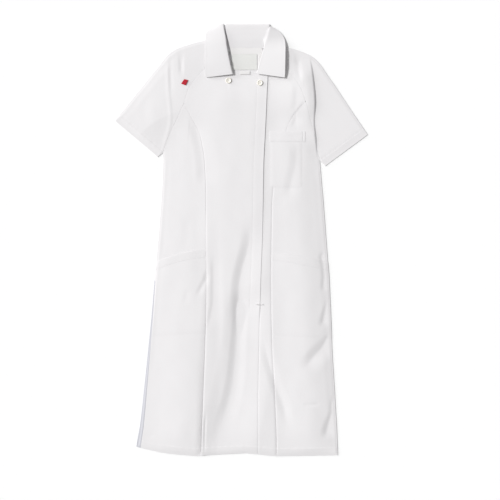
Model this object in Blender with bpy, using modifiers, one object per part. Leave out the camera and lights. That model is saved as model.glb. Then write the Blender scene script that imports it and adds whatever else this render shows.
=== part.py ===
"""Nurse's uniform dress, laid flat on its back.

The dress is a raglan-sleeved, princess-seamed coat dress with a concealed off-centre front opening.
Its back and the back halves of its sleeves lie flat on the ground.  The fronts lie on them, with the
pockets, buttons and tabs on the fronts and the collar folded open on top.  X runs to the dress's
left side as worn (right as seen), Y towards the collar and Z up.  The origin is under its middle.
Sizes in the tables are in millimetres.
"""

import math
from typing import NamedTuple

import bmesh
import bpy
from mathutils import Vector

MM = 0.001

# Cloth and how the layers stack.
CLOTH = 1.2
SEAM_GAP = 0.3
LAYER = CLOTH + SEAM_GAP
PATCH_LIFT = 1.7
CHEST_PATCH_LIFT = 1.9
COLLAR_CLOTH = 1.6
TAPE_CLOTH = 1.0
SIZE_TAB_CLOTH = 1.4
TRIM_GAP = 0.4

# Heights of the skirt's hem and of the joins up the body.
HEM_Y = -563.0
FLY_END_Y = -178.0
FLY_END_FADE = 40.0
FLY_WIDTH = 26.0
FLY_RAMP = 12.0
UNDERARM_LEFT_Y = 225.0
UNDERARM_RIGHT_Y = 204.0
SHOULDER_JOIN_LEFT_Y = 352.0
SHOULDER_JOIN_RIGHT_Y = 357.0

# Side strip that shows beside the left front, from the hip down.
STRIP_TOP_Y = -105.0
STRIP_TOP_WIDTH = 3.0
STRIP_HEM_WIDTH = 12.0

# How far in from a folded edge the cloth takes to reach its full height.
EDGE_RISE = 26.0


class Finish(NamedTuple):
    """Colour, roughness and name of one material."""

    name: str
    colour: tuple
    roughness: float


WHITE_TWILL = Finish("white_twill", (0.84, 0.835, 0.84, 1.0), 0.85)
LILAC_TRICOT = Finish("lilac_tricot", (0.74, 0.74, 0.79, 1.0), 0.85)
TAPE_WHITE = Finish("tape_white", (0.86, 0.85, 0.84, 1.0), 0.8)
LABEL_GREY = Finish("label_grey", (0.74, 0.75, 0.73, 1.0), 0.6)
TAB_RED = Finish("tab_red", (0.55, 0.02, 0.04, 1.0), 0.6)
BUTTON_PEARL = Finish("button_pearl", (0.9, 0.88, 0.83, 1.0), 0.25)
THREAD_WHITE = Finish("thread_white", (0.85, 0.84, 0.82, 1.0), 0.7)


class BodyRow(NamedTuple):
    """Where the side and princess seams and the front opening are at one height."""

    y: float
    side_left: float
    princess_left: float
    opening: float
    princess_right: float
    side_right: float


BODY_ROWS = (
    BodyRow(-563, -274, -105, 43, 92, 251),
    BodyRow(-500, -265, -103, 43, 91, 248.5),
    BodyRow(-400, -255, -99, 43, 87, 243),
    BodyRow(-300, -244.5, -95, 45, 80.5, 236.5),
    BodyRow(-200, -234.5, -92, 47, 78, 232.5),
    BodyRow(-100, -226, -91, 50, 77, 228),
    BodyRow(0, -217, -92, 54, 78, 220.5),
    BodyRow(100, -209, -93, 56, 79.5, 213),
    BodyRow(150, -206, -93.5, 56.5, 84, 208.5),
    BodyRow(204, -204, -96.5, 57.5, 95, 204),
)


class YokeRow(NamedTuple):
    """Where the raglan and princess seams and the opening are at one height above the underarm."""

    y: float
    raglan_left: float
    princess_left: float
    opening: float
    princess_right: float
    raglan_right: float


YOKE_ROWS = (
    YokeRow(204, -204, -96.5, 57.5, 95, 204),
    YokeRow(225, -205, -98.5, 58.5, 100, 199),
    YokeRow(260, -193, -105, 61, 109, 191),
    YokeRow(280, -184, -110, 62.5, 115, 187),
    YokeRow(300, -174.5, -121, 63.5, 121, 182),
    YokeRow(330, -160, -138, 65, 139, 175),
    YokeRow(352, -150.5, -149.5, 66, 159, 169.5),
    YokeRow(357, -148.5, -149.5, 66, 166, 167),
    YokeRow(390, -139.5, -149.5, 67.5, 166, 156),
    YokeRow(417, -121, -149.5, 68.5, 166, 139.5),
    YokeRow(446, -95, -149.5, 69, 166, 112),
)


class SleeveSection(NamedTuple):
    """One section of a sleeve: its height on the raglan or underarm seam, and its top edge."""

    under_y: float
    top_x: float
    top_y: float


LEFT_SLEEVE = (
    SleeveSection(445, -72, 525),
    SleeveSection(428, -98, 517),
    SleeveSection(410, -121, 511),
    SleeveSection(392, -147, 503),
    SleeveSection(372, -173, 493),
    SleeveSection(350, -194, 477),
    SleeveSection(325, -216, 449),
    SleeveSection(305, -236, 425),
    SleeveSection(285, -256, 400),
    SleeveSection(265, -277, 374),
    SleeveSection(245, -297, 349),
    SleeveSection(225, -314, 328),
)
LEFT_CUFF = ((-329, 309), (-217, 214.5))

RIGHT_SLEEVE = (
    SleeveSection(446, 76, 519),
    SleeveSection(428, 100, 508),
    SleeveSection(410, 124, 498),
    SleeveSection(392, 152, 490),
    SleeveSection(374, 181, 477),
    SleeveSection(355, 204, 456),
    SleeveSection(330, 222, 430),
    SleeveSection(305, 243, 400),
    SleeveSection(280, 263, 370),
    SleeveSection(255, 283, 340),
    SleeveSection(230, 301, 313),
    SleeveSection(204, 316, 291),
)
RIGHT_CUFF = ((328.5, 273), (217, 191))

# Yoke rows of the centre fronts climb faster at the raglan than at the opening, to shape the neck.
CENTRE_LEFT_TOP = ((372, 368, 0), (392, 383, 1), (410, 398, 3), (428, 413, 6), (445, 427, 9))
CENTRE_RIGHT_TOP = ((374, 370, 0), (392, 385, 0), (410, 399, 1), (428, 413, 1), (446, 427, 2))

# How far the hem lifts towards the sides, at places across the skirt.
HEM_LIFT = ((-274, 25), (-256, 20), (-212, 10), (-173, 5), (-116, 0), (-90, 3), (9, 8), (87, 0), (251, 3))
HEM_LIFT_REACH = 150.0


class Fold(NamedTuple):
    """A soft ridge (height above 0) or trough (below 0) along a line."""

    height: float
    half_width: float
    line: tuple


FOLDS = (
    Fold(3.0, 75, ((-160, -563), (-160, -200), (-150, 60), (-140, 230))),
    Fold(4.5, 90, ((-20, -563), (-10, -200), (-20, 100), (-30, 360))),
    Fold(4.0, 75, ((165, -563), (155, -250), (145, 60), (140, 260))),
    Fold(4.5, 65, ((-205, 400), (-262, 292))),
    Fold(6.5, 50, ((215, 400), (235, 330), (272, 242))),
    Fold(4.5, 20, ((162, 455), (170, 400), (172, 330))),
    Fold(-7.0, 17, ((184, 470), (190, 400), (189, 330), (190, 270), (203, 210))),
    Fold(3.0, 20, ((12, -40), (5, -110), (6, -170))),
    Fold(-6.0, 24, ((17, 70), (6, -27), (-12, -100), (-18, -235), (-30, -340), (-50, -443), (-72, -540))),
    Fold(-3.5, 20, ((-112, -235), (-110, -380), (-110, -563))),
    Fold(2.5, 18, ((-84, -20), (-84, -200), (-90, -330))),
    Fold(-3.5, 18, ((207, -74), (222, -150), (220, -225))),
    Fold(-3.0, 20, ((232, -255), (195, -285), (152, -328))),
    Fold(-3.0, 20, ((240, -395), (218, -470), (208, -500))),
)


class CollarSection(NamedTuple):
    """One section of a collar leaf: outer edge, roll and neck seam, each as x, y, z."""

    edge: tuple
    roll: tuple
    seam: tuple


LEFT_COLLAR = (
    CollarSection((-91, 421, 4.5), (-22, 429, 15), (-38, 433, 6.5)),
    CollarSection((-95, 428, 4.5), (-24, 438, 16), (-42, 441, 6.5)),
    CollarSection((-95, 455, 5), (-28, 460, 16.5), (-48, 461, 6)),
    CollarSection((-95, 485, 5.5), (-33.5, 485, 16), (-54, 484, 5.5)),
    CollarSection((-95, 507, 5.5), (-38, 507, 14), (-57, 504, 5)),
    CollarSection((-94, 521, 4.8), (-41, 525, 11), (-59, 519, 4.5)),
    CollarSection((-90, 538, 3.2), (-44.5, 543, 8), (-60, 534, 3.5)),
    CollarSection((-66, 554, 2), (-47.5, 561, 5), (-55, 546, 2.4)),
)
RIGHT_COLLAR = (
    CollarSection((112, 420, 13), (43, 430, 10.5), (36, 434, 5.5)),
    CollarSection((113, 430, 13), (45, 441, 10.5), (38, 444, 5.5)),
    CollarSection((113.5, 456, 13.5), (50, 462, 10.5), (43, 463, 5)),
    CollarSection((114, 485, 12), (56.5, 485, 10), (50, 484, 4.5)),
    CollarSection((114, 506, 9.5), (62, 506, 9), (56, 501, 4)),
    CollarSection((111, 524, 5.6), (67, 524, 7.5), (61, 516, 3.6)),
    CollarSection((100, 539, 3.2), (72, 540, 5.5), (66, 529, 3.2)),
    CollarSection((86, 549, 2.4), (76, 554, 4), (69, 541, 2.6)),
)
LEAF_CROWN = 1.5
LEAF_COLUMNS = 5
# How far down the stand its two inner lines of points are, and how far the roll bulges.
ROLL_DEPTH = 0.12
STAND_MIDDLE = 0.55
ROLL_BULGE = 0.03

# The back of the collar, folded in two: fall underneath, stand on top (y, z, left x, right x).
COLLAR_BACK = (
    (486, 0.6, -50, 72),
    (520, 0.6, -50, 72),
    (528, 0.6, -68, 94),
    (545, 0.6, -51, 88),
    (555, 0.8, -44, 77),
    (559.4, 2.3, -43, 71),
    (557.5, 3.9, -42.5, 69),
    (545, 5.0, -41, 63),
    (525, 5.4, -37.5, 57),
    (508, 4.5, -33.5, 52),
    (496, 3.3, -31, 47),
)
COLLAR_BACK_COLUMNS = 7

NECK_TAPE = (
    (-31, 493.5), (53, 493.5), (57, 484), (53, 465), (48, 444), (46, 434),
    (41.3, 434), (41.3, 482), (-29, 482),
)
NECK_LABEL = ((-27, 441), (40.7, 441), (40.7, 481.4), (-27, 481.4))
SIZE_TAB = ((-4, 429), (22, 429), (22, 437), (-4, 437))
BACK_NECK = ((-62, 470), (-48, 484.5), (80, 484.5), (92, 466))
SLEEVE_NECK_LEFT = ((-64, 471), (-62, 484), (-60, 505))
SLEEVE_NECK_RIGHT = ((94, 467), (92, 484), (80, 505))

RED_TAB = ((-148.7, 416.5), (-138.6, 414), (-144.8, 400.6), (-156.5, 404.8))
RED_TAB_THICKNESS = 1.8

BUTTON_PLACES = {"button_left": (-34, 413), "button_right": (47.5, 407)}
# Half of a button's section: x outwards, z upwards.
BUTTON_SECTION = ((0, 2.2), (4.4, 2.2), (5.2, 3.0), (6.8, 3.0), (7.5, 2.2), (7.3, 0.9), (5.6, 0), (0, 0))
BUTTON_STEPS = 24
BUTTON_REACH = (-7, 0, 7)

BAR_TACK = ((38, -168), (56, -168))
BAR_TACK_RADIUS = 0.9

# Pockets: heights of the top and bottom edges at each side, and depth of the top band.
WAIST_TOPS = {"left": (-58, -25), "right": (-32, -60)}
WAIST_BOTTOMS = {"left": (-252, -243), "right": (-248, -258)}
WAIST_BAND = 20.0
WAIST_ROWS = 8
CHEST_POCKET = {"left": 73.0, "right": 158.0, "top": 281.0, "bottom": 136.0}
CHEST_BAND = 27.0
PEN_STRIP_WIDTH = 8.0

# Rows up the panels, and columns across each of them.
BODY_ROW_COUNT = 30
SIDE_LEFT_TOP_ROWS = (UNDERARM_LEFT_Y, 245, 265, 285, 305, 325, 350)
SIDE_RIGHT_TOP_ROWS = (230, 255, 280, 305, 330, 355)
SIDE_COLUMNS = {"left": 6, "right": 7}
CENTRE_LEFT_COLUMNS = 8
CENTRE_RIGHT_COLUMNS = 3
SLEEVE_COLUMNS = {"left": 7, "right": 8}
CHEST_COLUMNS = 8
CHEST_ROWS = 10
BAND_ROWS = 2


# ---- working out places -------------------------------------------------------------------------


def mix(a, b, share):
    return a + (b - a) * share


def smooth(share):
    share = min(max(share, 0.0), 1.0)
    return share * share * (3.0 - 2.0 * share)


def between(rows, value, key=0, wanted=1):
    """Read a table of rows in rising order of their key column, straight between its rows."""
    if value <= rows[0][key]:
        return rows[0][wanted]
    for low, high in zip(rows, rows[1:]):
        if value <= high[key]:
            share = (value - low[key]) / (high[key] - low[key])
            return mix(low[wanted], high[wanted], share)
    return rows[-1][wanted]


def seam_x(name, y):
    """X of a named seam at height y."""
    if y <= UNDERARM_RIGHT_Y:
        body_name = name.replace("raglan", "side")
        return between(BODY_ROWS, y, 0, BodyRow._fields.index(body_name))
    return between(YOKE_ROWS, y, 0, YokeRow._fields.index(name.replace("side", "raglan")))


def strip_width(y):
    """Width of the side strip that shows beside the left front."""
    share = (STRIP_TOP_Y - y) / (STRIP_TOP_Y - HEM_Y)
    return mix(STRIP_TOP_WIDTH, STRIP_HEM_WIDTH, share) if share >= 0 else 0.0


def settle(x, y):
    """A point of the flat cut as it lies, with the hem lifted where it lifts."""
    share = 1.0 - (y - HEM_Y) / HEM_LIFT_REACH
    return x, y + between(HEM_LIFT, x) * smooth(share)


def line_distance(x, y, line):
    """Distance from a point to a line of straight stretches."""
    nearest = math.inf
    for (ax, ay), (bx, by) in zip(line, line[1:]):
        dx, dy = bx - ax, by - ay
        share = ((x - ax) * dx + (y - ay) * dy) / (dx * dx + dy * dy)
        share = min(max(share, 0.0), 1.0)
        nearest = min(nearest, math.hypot(x - ax - share * dx, y - ay - share * dy))
    return nearest


def folded_edges():
    """The edges where the front turns under to the back: side seams, underarms and sleeve tops."""
    underarm = (seam_x("raglan_left", UNDERARM_LEFT_Y), UNDERARM_LEFT_Y)
    left = [(row.side_left, row.y) for row in BODY_ROWS] + [underarm, LEFT_CUFF[1]]
    right = [(row.side_right, row.y) for row in BODY_ROWS] + [RIGHT_CUFF[1]]
    left_top = [(s.top_x, s.top_y) for s in LEFT_SLEEVE] + [LEFT_CUFF[0]]
    right_top = [(s.top_x, s.top_y) for s in RIGHT_SLEEVE] + [RIGHT_CUFF[0]]
    return left, right, left_top, right_top


FOLDED_EDGES = folded_edges()
NECK_EDGE = ((-95, 445), (-20, 427), (69, 427), (112, 446))
NECK_EDGE_START = 4.0


def rise(x, y):
    """Height of the front's cloth above where it would lie pressed flat, in millimetres."""
    total = 0.0
    for fold in FOLDS:
        reach = line_distance(x, y, fold.line) / fold.half_width
        if reach < 1.0:
            total += fold.height * (1.0 - reach * reach) ** 2
    edge = min(line_distance(x, y, line) for line in FOLDED_EDGES)
    edge = min(edge, line_distance(x, y, NECK_EDGE) + NECK_EDGE_START)
    return max(total, 0.0) * smooth(edge / EDGE_RISE)


def fly_lift(x, y):
    """Extra height of the left front where it lies over the fly strip."""
    ramp_start = seam_x("opening", y) - FLY_WIDTH - FLY_RAMP - 2.0
    above_end = smooth((y - FLY_END_Y + FLY_END_FADE) / (FLY_END_FADE - 4.0))
    return PATCH_LIFT * smooth((x - ramp_start) / FLY_RAMP) * above_end


def front_point(x, y, lift=0.0):
    """A point on the underside of the front at a place of the cut, moved up by lift."""
    px, py = settle(x, y)
    return Vector((px, py, LAYER + rise(px, py) + lift))


# ---- making solids ------------------------------------------------------------------------------


def material_for(finish):
    """The material of a finish, made once."""
    found = bpy.data.materials.get(finish.name)
    if found:
        return found
    made = bpy.data.materials.new(finish.name)
    made.use_nodes = True
    made.diffuse_color = finish.colour
    shader = made.node_tree.nodes["Principled BSDF"]
    shader.inputs["Base Color"].default_value = finish.colour
    shader.inputs["Roughness"].default_value = finish.roughness
    shader.inputs["Metallic"].default_value = 0.0
    return made


def add_object(name, data, finish):
    thing = bpy.data.objects.new(name, data)
    data.materials.append(material_for(finish))
    DRESS.objects.link(thing)
    return thing


def surface_mesh(name, rows):
    """An open surface through rows of points, facing up."""
    columns = len(rows[0])
    points = [point * MM for row in rows for point in row]
    faces = []
    for i in range(len(rows) - 1):
        for j in range(columns - 1):
            corner = i * columns + j
            faces.append((corner, corner + 1, corner + columns + 1, corner + columns))
    mesh = bpy.data.meshes.new(name)
    mesh.from_pydata(points, [], faces)
    if sum(face.normal.z * face.area for face in mesh.polygons) < 0:
        mesh.flip_normals()
    return mesh


def draped_sheet(name, rows, finish, thickness=CLOTH):
    """Cloth that lies on what is under it: a surface extruded straight up by the cloth's thickness."""
    mesh = surface_mesh(name, rows)
    shape = bmesh.new()
    shape.from_mesh(mesh)
    made = bmesh.ops.extrude_face_region(shape, geom=shape.faces[:], use_keep_orig=True)
    top = [part for part in made["geom"] if isinstance(part, bmesh.types.BMVert)]
    bmesh.ops.translate(shape, verts=top, vec=(0.0, 0.0, thickness * MM))
    bmesh.ops.recalc_face_normals(shape, faces=shape.faces[:])
    shape.to_mesh(mesh)
    shape.free()
    mesh.set_sharp_from_angle(angle=math.radians(40))
    return add_object(name, mesh, finish)


def folded_sheet(name, rows, finish, thickness=CLOTH, centred=False):
    """Cloth that stands or folds over: a surface with a wall upwards, or both ways if centred."""
    mesh = surface_mesh(name, rows)
    mesh.shade_smooth()
    thing = add_object(name, mesh, finish)
    wall = thing.modifiers.new("cloth", "SOLIDIFY")
    wall.thickness = thickness * MM
    wall.offset = 0.0 if centred else 1.0
    wall.use_even_offset = centred
    return thing


def flat_piece(name, outline, bottom, thickness, finish):
    """A flat piece cut to an outline."""
    curve = bpy.data.curves.new(name, "CURVE")
    curve.dimensions = "2D"
    curve.fill_mode = "BOTH"
    curve.extrude = thickness / 2 * MM
    spline = curve.splines.new("POLY")
    spline.points.add(len(outline) - 1)
    for point, (x, y) in zip(spline.points, outline):
        point.co = (x * MM, y * MM, 0.0, 1.0)
    spline.use_cyclic_u = True
    thing = add_object(name, curve, finish)
    thing.location.z = (bottom + thickness / 2) * MM
    return thing


def across(left, right, columns, bow=0.0, lift=None):
    """A row of front points from left to right, each given as x, y; bow lets its middle sag."""
    row = []
    for k in range(columns + 1):
        share = k / columns
        x = mix(left[0], right[0], share)
        y = mix(left[1], right[1], share) - bow * 4.0 * share * (1.0 - share)
        row.append(front_point(x, y, lift(x, y) if lift else 0.0))
    return row


# ---- pieces -------------------------------------------------------------------------------------


def body_heights():
    """Heights of the rows of the body's panels from the hem to the right underarm."""
    return [mix(HEM_Y, UNDERARM_RIGHT_Y, k / BODY_ROW_COUNT) for k in range(BODY_ROW_COUNT + 1)]


def side_fronts():
    half = SEAM_GAP / 2
    rows = []
    for y in body_heights() + list(SIDE_LEFT_TOP_ROWS):
        left = seam_x("raglan_left", y) + strip_width(y) + half
        rows.append(across((left, y), (seam_x("princess_left", y) - half, y), SIDE_COLUMNS["left"]))
    draped_sheet("side_front_left", rows, WHITE_TWILL)
    rows = []
    for y in body_heights() + list(SIDE_RIGHT_TOP_ROWS):
        right = seam_x("raglan_right", y) - half
        left = seam_x("princess_right", y) + half
        rows.append(across((left, y), (right, y), SIDE_COLUMNS["right"]))
    draped_sheet("side_front_right", rows, WHITE_TWILL)


def side_strip():
    rows = []
    for y in body_heights():
        if y <= STRIP_TOP_Y:
            left = seam_x("side_left", y)
            rows.append(across((left, y), (left + strip_width(y) - SEAM_GAP / 2, y), 1))
    draped_sheet("side_strip_left", rows, LILAC_TRICOT)


def centre_left_row(left, right, bow=0.0):
    """One row of the left centre front, ending in columns that match the fly strip's."""
    fly_start = right[0] - FLY_WIDTH
    share = (fly_start - left[0]) / (right[0] - left[0])
    parts = [share * k / CENTRE_LEFT_COLUMNS for k in range(CENTRE_LEFT_COLUMNS + 1)]
    parts += [mix(share, 1.0, 0.5), 1.0]
    points = []
    for part in parts:
        x = mix(left[0], right[0], part)
        y = mix(left[1], right[1], part) - bow * 4.0 * part * (1.0 - part)
        points.append(front_point(x, y, fly_lift(x, y)))
    return points


def centre_left_rows():
    half = SEAM_GAP / 2
    rows = []
    for y in body_heights() + [y for y in SIDE_LEFT_TOP_ROWS if y < SHOULDER_JOIN_LEFT_Y]:
        left = seam_x("princess_left", y) + half
        rows.append(centre_left_row((left, y), (seam_x("opening", y) - half, y)))
    for left_y, right_y, bow in CENTRE_LEFT_TOP:
        left = seam_x("raglan_left", left_y) + half
        rows.append(centre_left_row((left, left_y), (seam_x("opening", right_y) - half, right_y), bow))
    return rows


def centre_fronts():
    half = SEAM_GAP / 2
    draped_sheet("centre_front_left", centre_left_rows(), WHITE_TWILL)
    rows = []
    for y in body_heights() + [y for y in SIDE_RIGHT_TOP_ROWS if y < SHOULDER_JOIN_RIGHT_Y]:
        left = seam_x("opening", y) + half
        right = seam_x("princess_right", y) - half
        rows.append(across((left, y), (right, y), CENTRE_RIGHT_COLUMNS))
    for right_y, left_y, bow in CENTRE_RIGHT_TOP:
        left = seam_x("opening", left_y) + half
        right = seam_x("raglan_right", right_y) - half
        rows.append(across((left, left_y), (right, right_y), CENTRE_RIGHT_COLUMNS, bow))
    draped_sheet("centre_front_right", rows, WHITE_TWILL)


def fly_strip():
    """The strip under the opening's edge, along the same points as the left centre front."""
    rows = []
    for row in centre_left_rows():
        if row[-1].y < FLY_END_Y:
            continue
        points = []
        for point in row[-3:]:
            lift = fly_lift(point.x, point.y)
            points.append(Vector((point.x, point.y, point.z - lift)))
        rows.append(points)
    draped_sheet("fly_strip", rows, WHITE_TWILL)


def sleeve_rows(side, sections, cuff):
    """Rows of a sleeve's front half from the neck to the cuff."""
    columns = SLEEVE_COLUMNS[side]
    sign = -1.0 if side == "left" else 1.0
    rows = []
    for section in sections:
        under = (seam_x("raglan_" + side, section.under_y) + sign * SEAM_GAP / 2, section.under_y)
        rows.append(((section.top_x, section.top_y), under))
    rows.append(cuff)
    grid = []
    for top, under in rows:
        line = []
        for k in range(columns + 1):
            share = k / columns
            x = mix(top[0], under[0], share)
            y = mix(top[1], under[1], share)
            line.append(front_point(x, y))
        grid.append(line)
    return grid


def sleeve_fronts():
    draped_sheet("sleeve_front_left", sleeve_rows("left", LEFT_SLEEVE, LEFT_CUFF), WHITE_TWILL)
    draped_sheet("sleeve_front_right", sleeve_rows("right", RIGHT_SLEEVE, RIGHT_CUFF), WHITE_TWILL)


def sleeve_back(side, sections, cuff, neck):
    """The back half of a sleeve, flat on the ground."""
    sign = -1.0 if side == "left" else 1.0
    outline = [(section.top_x, section.top_y) for section in sections]
    outline += [cuff[0], cuff[1]]
    for section in reversed(sections):
        outline.append((seam_x("raglan_" + side, section.under_y) + sign * SEAM_GAP / 2, section.under_y))
    flat_piece("sleeve_back_" + side, outline + list(neck), 0.0, CLOTH, WHITE_TWILL)


def back_pieces():
    """The back body and the back halves of the sleeves, flat on the ground."""
    half = SEAM_GAP / 2
    left = []
    for y in body_heights():
        left.append(settle(seam_x("side_left", y), y))
    hem = [settle(x, HEM_Y) for x, _ in reversed(HEM_LIFT[1:-1])]
    for section in reversed(LEFT_SLEEVE):
        left.append((seam_x("raglan_left", section.under_y) + half, section.under_y))
    right = []
    for y in reversed(body_heights()):
        right.append(settle(seam_x("side_right", y), y))
    top = []
    for section in RIGHT_SLEEVE[:-1]:
        top.append((seam_x("raglan_right", section.under_y) - half, section.under_y))
    outline = left + list(BACK_NECK) + top + right + hem
    flat_piece("back_body", outline, 0.0, CLOTH, WHITE_TWILL)
    sleeve_back("left", LEFT_SLEEVE, LEFT_CUFF, SLEEVE_NECK_LEFT)
    sleeve_back("right", RIGHT_SLEEVE, RIGHT_CUFF, SLEEVE_NECK_RIGHT)


def waist_row(side, start, end):
    """A row of a waist pocket from seam to seam, from a height at its left end to one at its right."""
    outer = "side_left" if side == "left" else "princess_right"
    inner = "princess_left" if side == "left" else "side_right"
    columns = SIDE_COLUMNS[side]
    row = []
    for k in range(columns + 1):
        share = k / columns
        y = mix(start, end, share)
        left = seam_x(outer, y) + SEAM_GAP / 2
        if side == "left":
            left += strip_width(y)
        x = mix(left, seam_x(inner, y) - SEAM_GAP / 2, share)
        row.append(front_point(x, y, PATCH_LIFT))
    return row


def waist_pockets():
    """Each waist pocket fills its side front from seam to seam, with a band along its top."""
    for side in ("left", "right"):
        left_top, right_top = WAIST_TOPS[side]
        left_bottom, right_bottom = WAIST_BOTTOMS[side]
        under_band = WAIST_BAND + SEAM_GAP
        rows = []
        for step in range(WAIST_ROWS + 1):
            up = step / WAIST_ROWS
            start = mix(left_bottom, left_top - under_band, up)
            end = mix(right_bottom, right_top - under_band, up)
            rows.append(waist_row(side, start, end))
        draped_sheet("waist_pocket_" + side, rows, WHITE_TWILL)
        rows = []
        for drop in (WAIST_BAND, WAIST_BAND / 2, 0.0):
            rows.append(waist_row(side, left_top - drop, right_top - drop))
        draped_sheet("waist_band_" + side, rows, WHITE_TWILL)


def chest_pocket():
    """The chest pocket, its top band and the narrow pen strip at the band's outer end."""
    left, right = CHEST_POCKET["left"], CHEST_POCKET["right"]
    top, bottom = CHEST_POCKET["top"], CHEST_POCKET["bottom"]

    def patch(name, x0, x1, y0, y1, columns, rows):
        grid = []
        for i in range(rows + 1):
            y = mix(y0, y1, i / rows)
            line = []
            for k in range(columns + 1):
                line.append(front_point(mix(x0, x1, k / columns), y, CHEST_PATCH_LIFT))
            grid.append(line)
        draped_sheet(name, grid, WHITE_TWILL)

    patch("chest_pocket", left, right, bottom, top - CHEST_BAND - SEAM_GAP, CHEST_COLUMNS, CHEST_ROWS)
    patch("chest_band", left, right, top - CHEST_BAND, top, CHEST_COLUMNS, BAND_ROWS)
    strip_left = right + SEAM_GAP
    patch("pen_strip", strip_left, strip_left + PEN_STRIP_WIDTH, top - CHEST_BAND, top, 1, BAND_ROWS)


def collar_leaf(name, sections):
    """A collar leaf folded over its stand, from the front end to the top of the neck."""
    rows = []
    for section in sections:
        edge, roll, seam = Vector(section.edge), Vector(section.roll), Vector(section.seam)
        row = []
        for k in range(LEAF_COLUMNS + 1):
            share = k / LEAF_COLUMNS
            point = edge.lerp(roll, share)
            point.z += LEAF_CROWN * 4.0 * share * (1.0 - share)
            row.append(point)
        inner = roll.lerp(seam, ROLL_DEPTH)
        inner.x = mix(roll.x, 2.0 * roll.x - edge.x, ROLL_BULGE)
        row += [inner, roll.lerp(seam, STAND_MIDDLE), seam]
        rows.append(row)
    folded_sheet(name, rows, WHITE_TWILL, COLLAR_CLOTH)


def collar():
    collar_leaf("collar_leaf_left", LEFT_COLLAR)
    collar_leaf("collar_leaf_right", RIGHT_COLLAR)
    rows = []
    for y, z, left, right in COLLAR_BACK:
        row = []
        for k in range(COLLAR_BACK_COLUMNS + 1):
            row.append(Vector((mix(left, right, k / COLLAR_BACK_COLUMNS), y, z)))
        rows.append(row)
    folded_sheet("collar_back", rows, WHITE_TWILL, CLOTH, centred=True)


def neck_trims():
    flat_piece("neck_tape", NECK_TAPE, LAYER, TAPE_CLOTH, TAPE_WHITE)
    flat_piece("neck_label", NECK_LABEL, LAYER, TAPE_CLOTH, LABEL_GREY)
    flat_piece("size_tab", SIZE_TAB, LAYER, SIZE_TAB_CLOTH, TAPE_WHITE)


def red_tab():
    corners = [front_point(x, y, PATCH_LIFT) for x, y in RED_TAB]
    rows = [[corners[3], corners[2]], [corners[0], corners[1]]]
    draped_sheet("red_tab", rows, TAB_RED, RED_TAB_THICKNESS)


def cloth_top(x, y):
    """Height of the left front's top face under a button."""
    heights = []
    for dx in BUTTON_REACH:
        for dy in BUTTON_REACH:
            heights.append(front_point(x + dx, y + dy, fly_lift(x + dx, y + dy)).z)
    return max(heights) + CLOTH


def buttons():
    profile = bpy.data.meshes.new("button_section")
    points = [(x * MM, 0.0, z * MM) for x, z in BUTTON_SECTION]
    profile.from_pydata(points, [(i, i + 1) for i in range(len(points) - 1)], [])
    for name, (x, y) in BUTTON_PLACES.items():
        thing = add_object(name, profile.copy(), BUTTON_PEARL)
        thing.location = Vector((x, y, cloth_top(x, y) + TRIM_GAP)) * MM
        turn = thing.modifiers.new("turn", "SCREW")
        turn.steps = turn.render_steps = BUTTON_STEPS
        turn.use_merge_vertices = True
        turn.merge_threshold = 0.00005


def bar_tack():
    curve = bpy.data.curves.new("bar_tack", "CURVE")
    curve.dimensions = "3D"
    curve.bevel_depth = BAR_TACK_RADIUS * MM
    curve.bevel_resolution = 2
    curve.use_fill_caps = True
    spline = curve.splines.new("POLY")
    spline.points.add(1)
    top = max(front_point(x, y, fly_lift(x, y)).z for x, y in BAR_TACK)
    for point, (x, y) in zip(spline.points, BAR_TACK):
        point.co = (x * MM, y * MM, (top + CLOTH + TRIM_GAP + BAR_TACK_RADIUS) * MM, 1.0)
    add_object("bar_tack", curve, THREAD_WHITE)


# ---- the dress ----------------------------------------------------------------------------------

for old in list(bpy.data.objects):
    bpy.data.objects.remove(old, do_unlink=True)

DRESS = bpy.data.collections.new("nurse_uniform_dress")
bpy.context.scene.collection.children.link(DRESS)

back_pieces()
side_fronts()
side_strip()
centre_fronts()
fly_strip()
sleeve_fronts()
waist_pockets()
chest_pocket()
collar()
neck_trims()
red_tab()
buttons()
bar_tack()
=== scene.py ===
"""Looks of the nurse's uniform dress: cloth, seams, stitches, trims, light and camera.

X runs to the right as the dress is seen, Y towards the collar and Z up.  Sizes in the tables are in
millimetres and become metres only when a mesh is made.  Left and right are as seen.
"""

from __future__ import annotations

import logging
import math
from dataclasses import dataclass, field
from enum import Enum
from typing import Callable, Sequence

import bpy
import numpy as np
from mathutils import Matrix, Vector


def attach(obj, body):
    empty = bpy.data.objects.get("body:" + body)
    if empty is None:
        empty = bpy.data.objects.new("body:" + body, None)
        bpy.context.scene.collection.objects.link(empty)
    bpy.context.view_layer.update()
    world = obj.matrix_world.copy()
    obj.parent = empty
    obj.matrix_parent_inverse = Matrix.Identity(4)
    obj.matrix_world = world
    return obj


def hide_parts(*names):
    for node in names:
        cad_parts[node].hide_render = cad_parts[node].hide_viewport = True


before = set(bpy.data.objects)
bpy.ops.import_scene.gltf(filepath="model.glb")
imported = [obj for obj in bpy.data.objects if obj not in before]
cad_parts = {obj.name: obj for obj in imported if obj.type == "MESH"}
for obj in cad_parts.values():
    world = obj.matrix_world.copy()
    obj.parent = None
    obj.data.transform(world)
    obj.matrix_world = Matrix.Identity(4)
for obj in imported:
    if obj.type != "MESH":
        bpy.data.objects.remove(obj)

LOG = logging.getLogger("dress")
MM = 0.001
TINY = 1e-9
BODY = "root"
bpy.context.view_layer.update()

Point = tuple[float, float]
Array = np.ndarray
Lift = Callable[[Array, Array], Array]
AtHeight = Callable[[Array], Array]


# ---- numbers along tables ------------------------------------------------------------------------


def mix(a: Array | float, b: Array | float, share: Array | float) -> Array | float:
    """Go from a to b by a share."""
    return a + (b - a) * share


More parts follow.
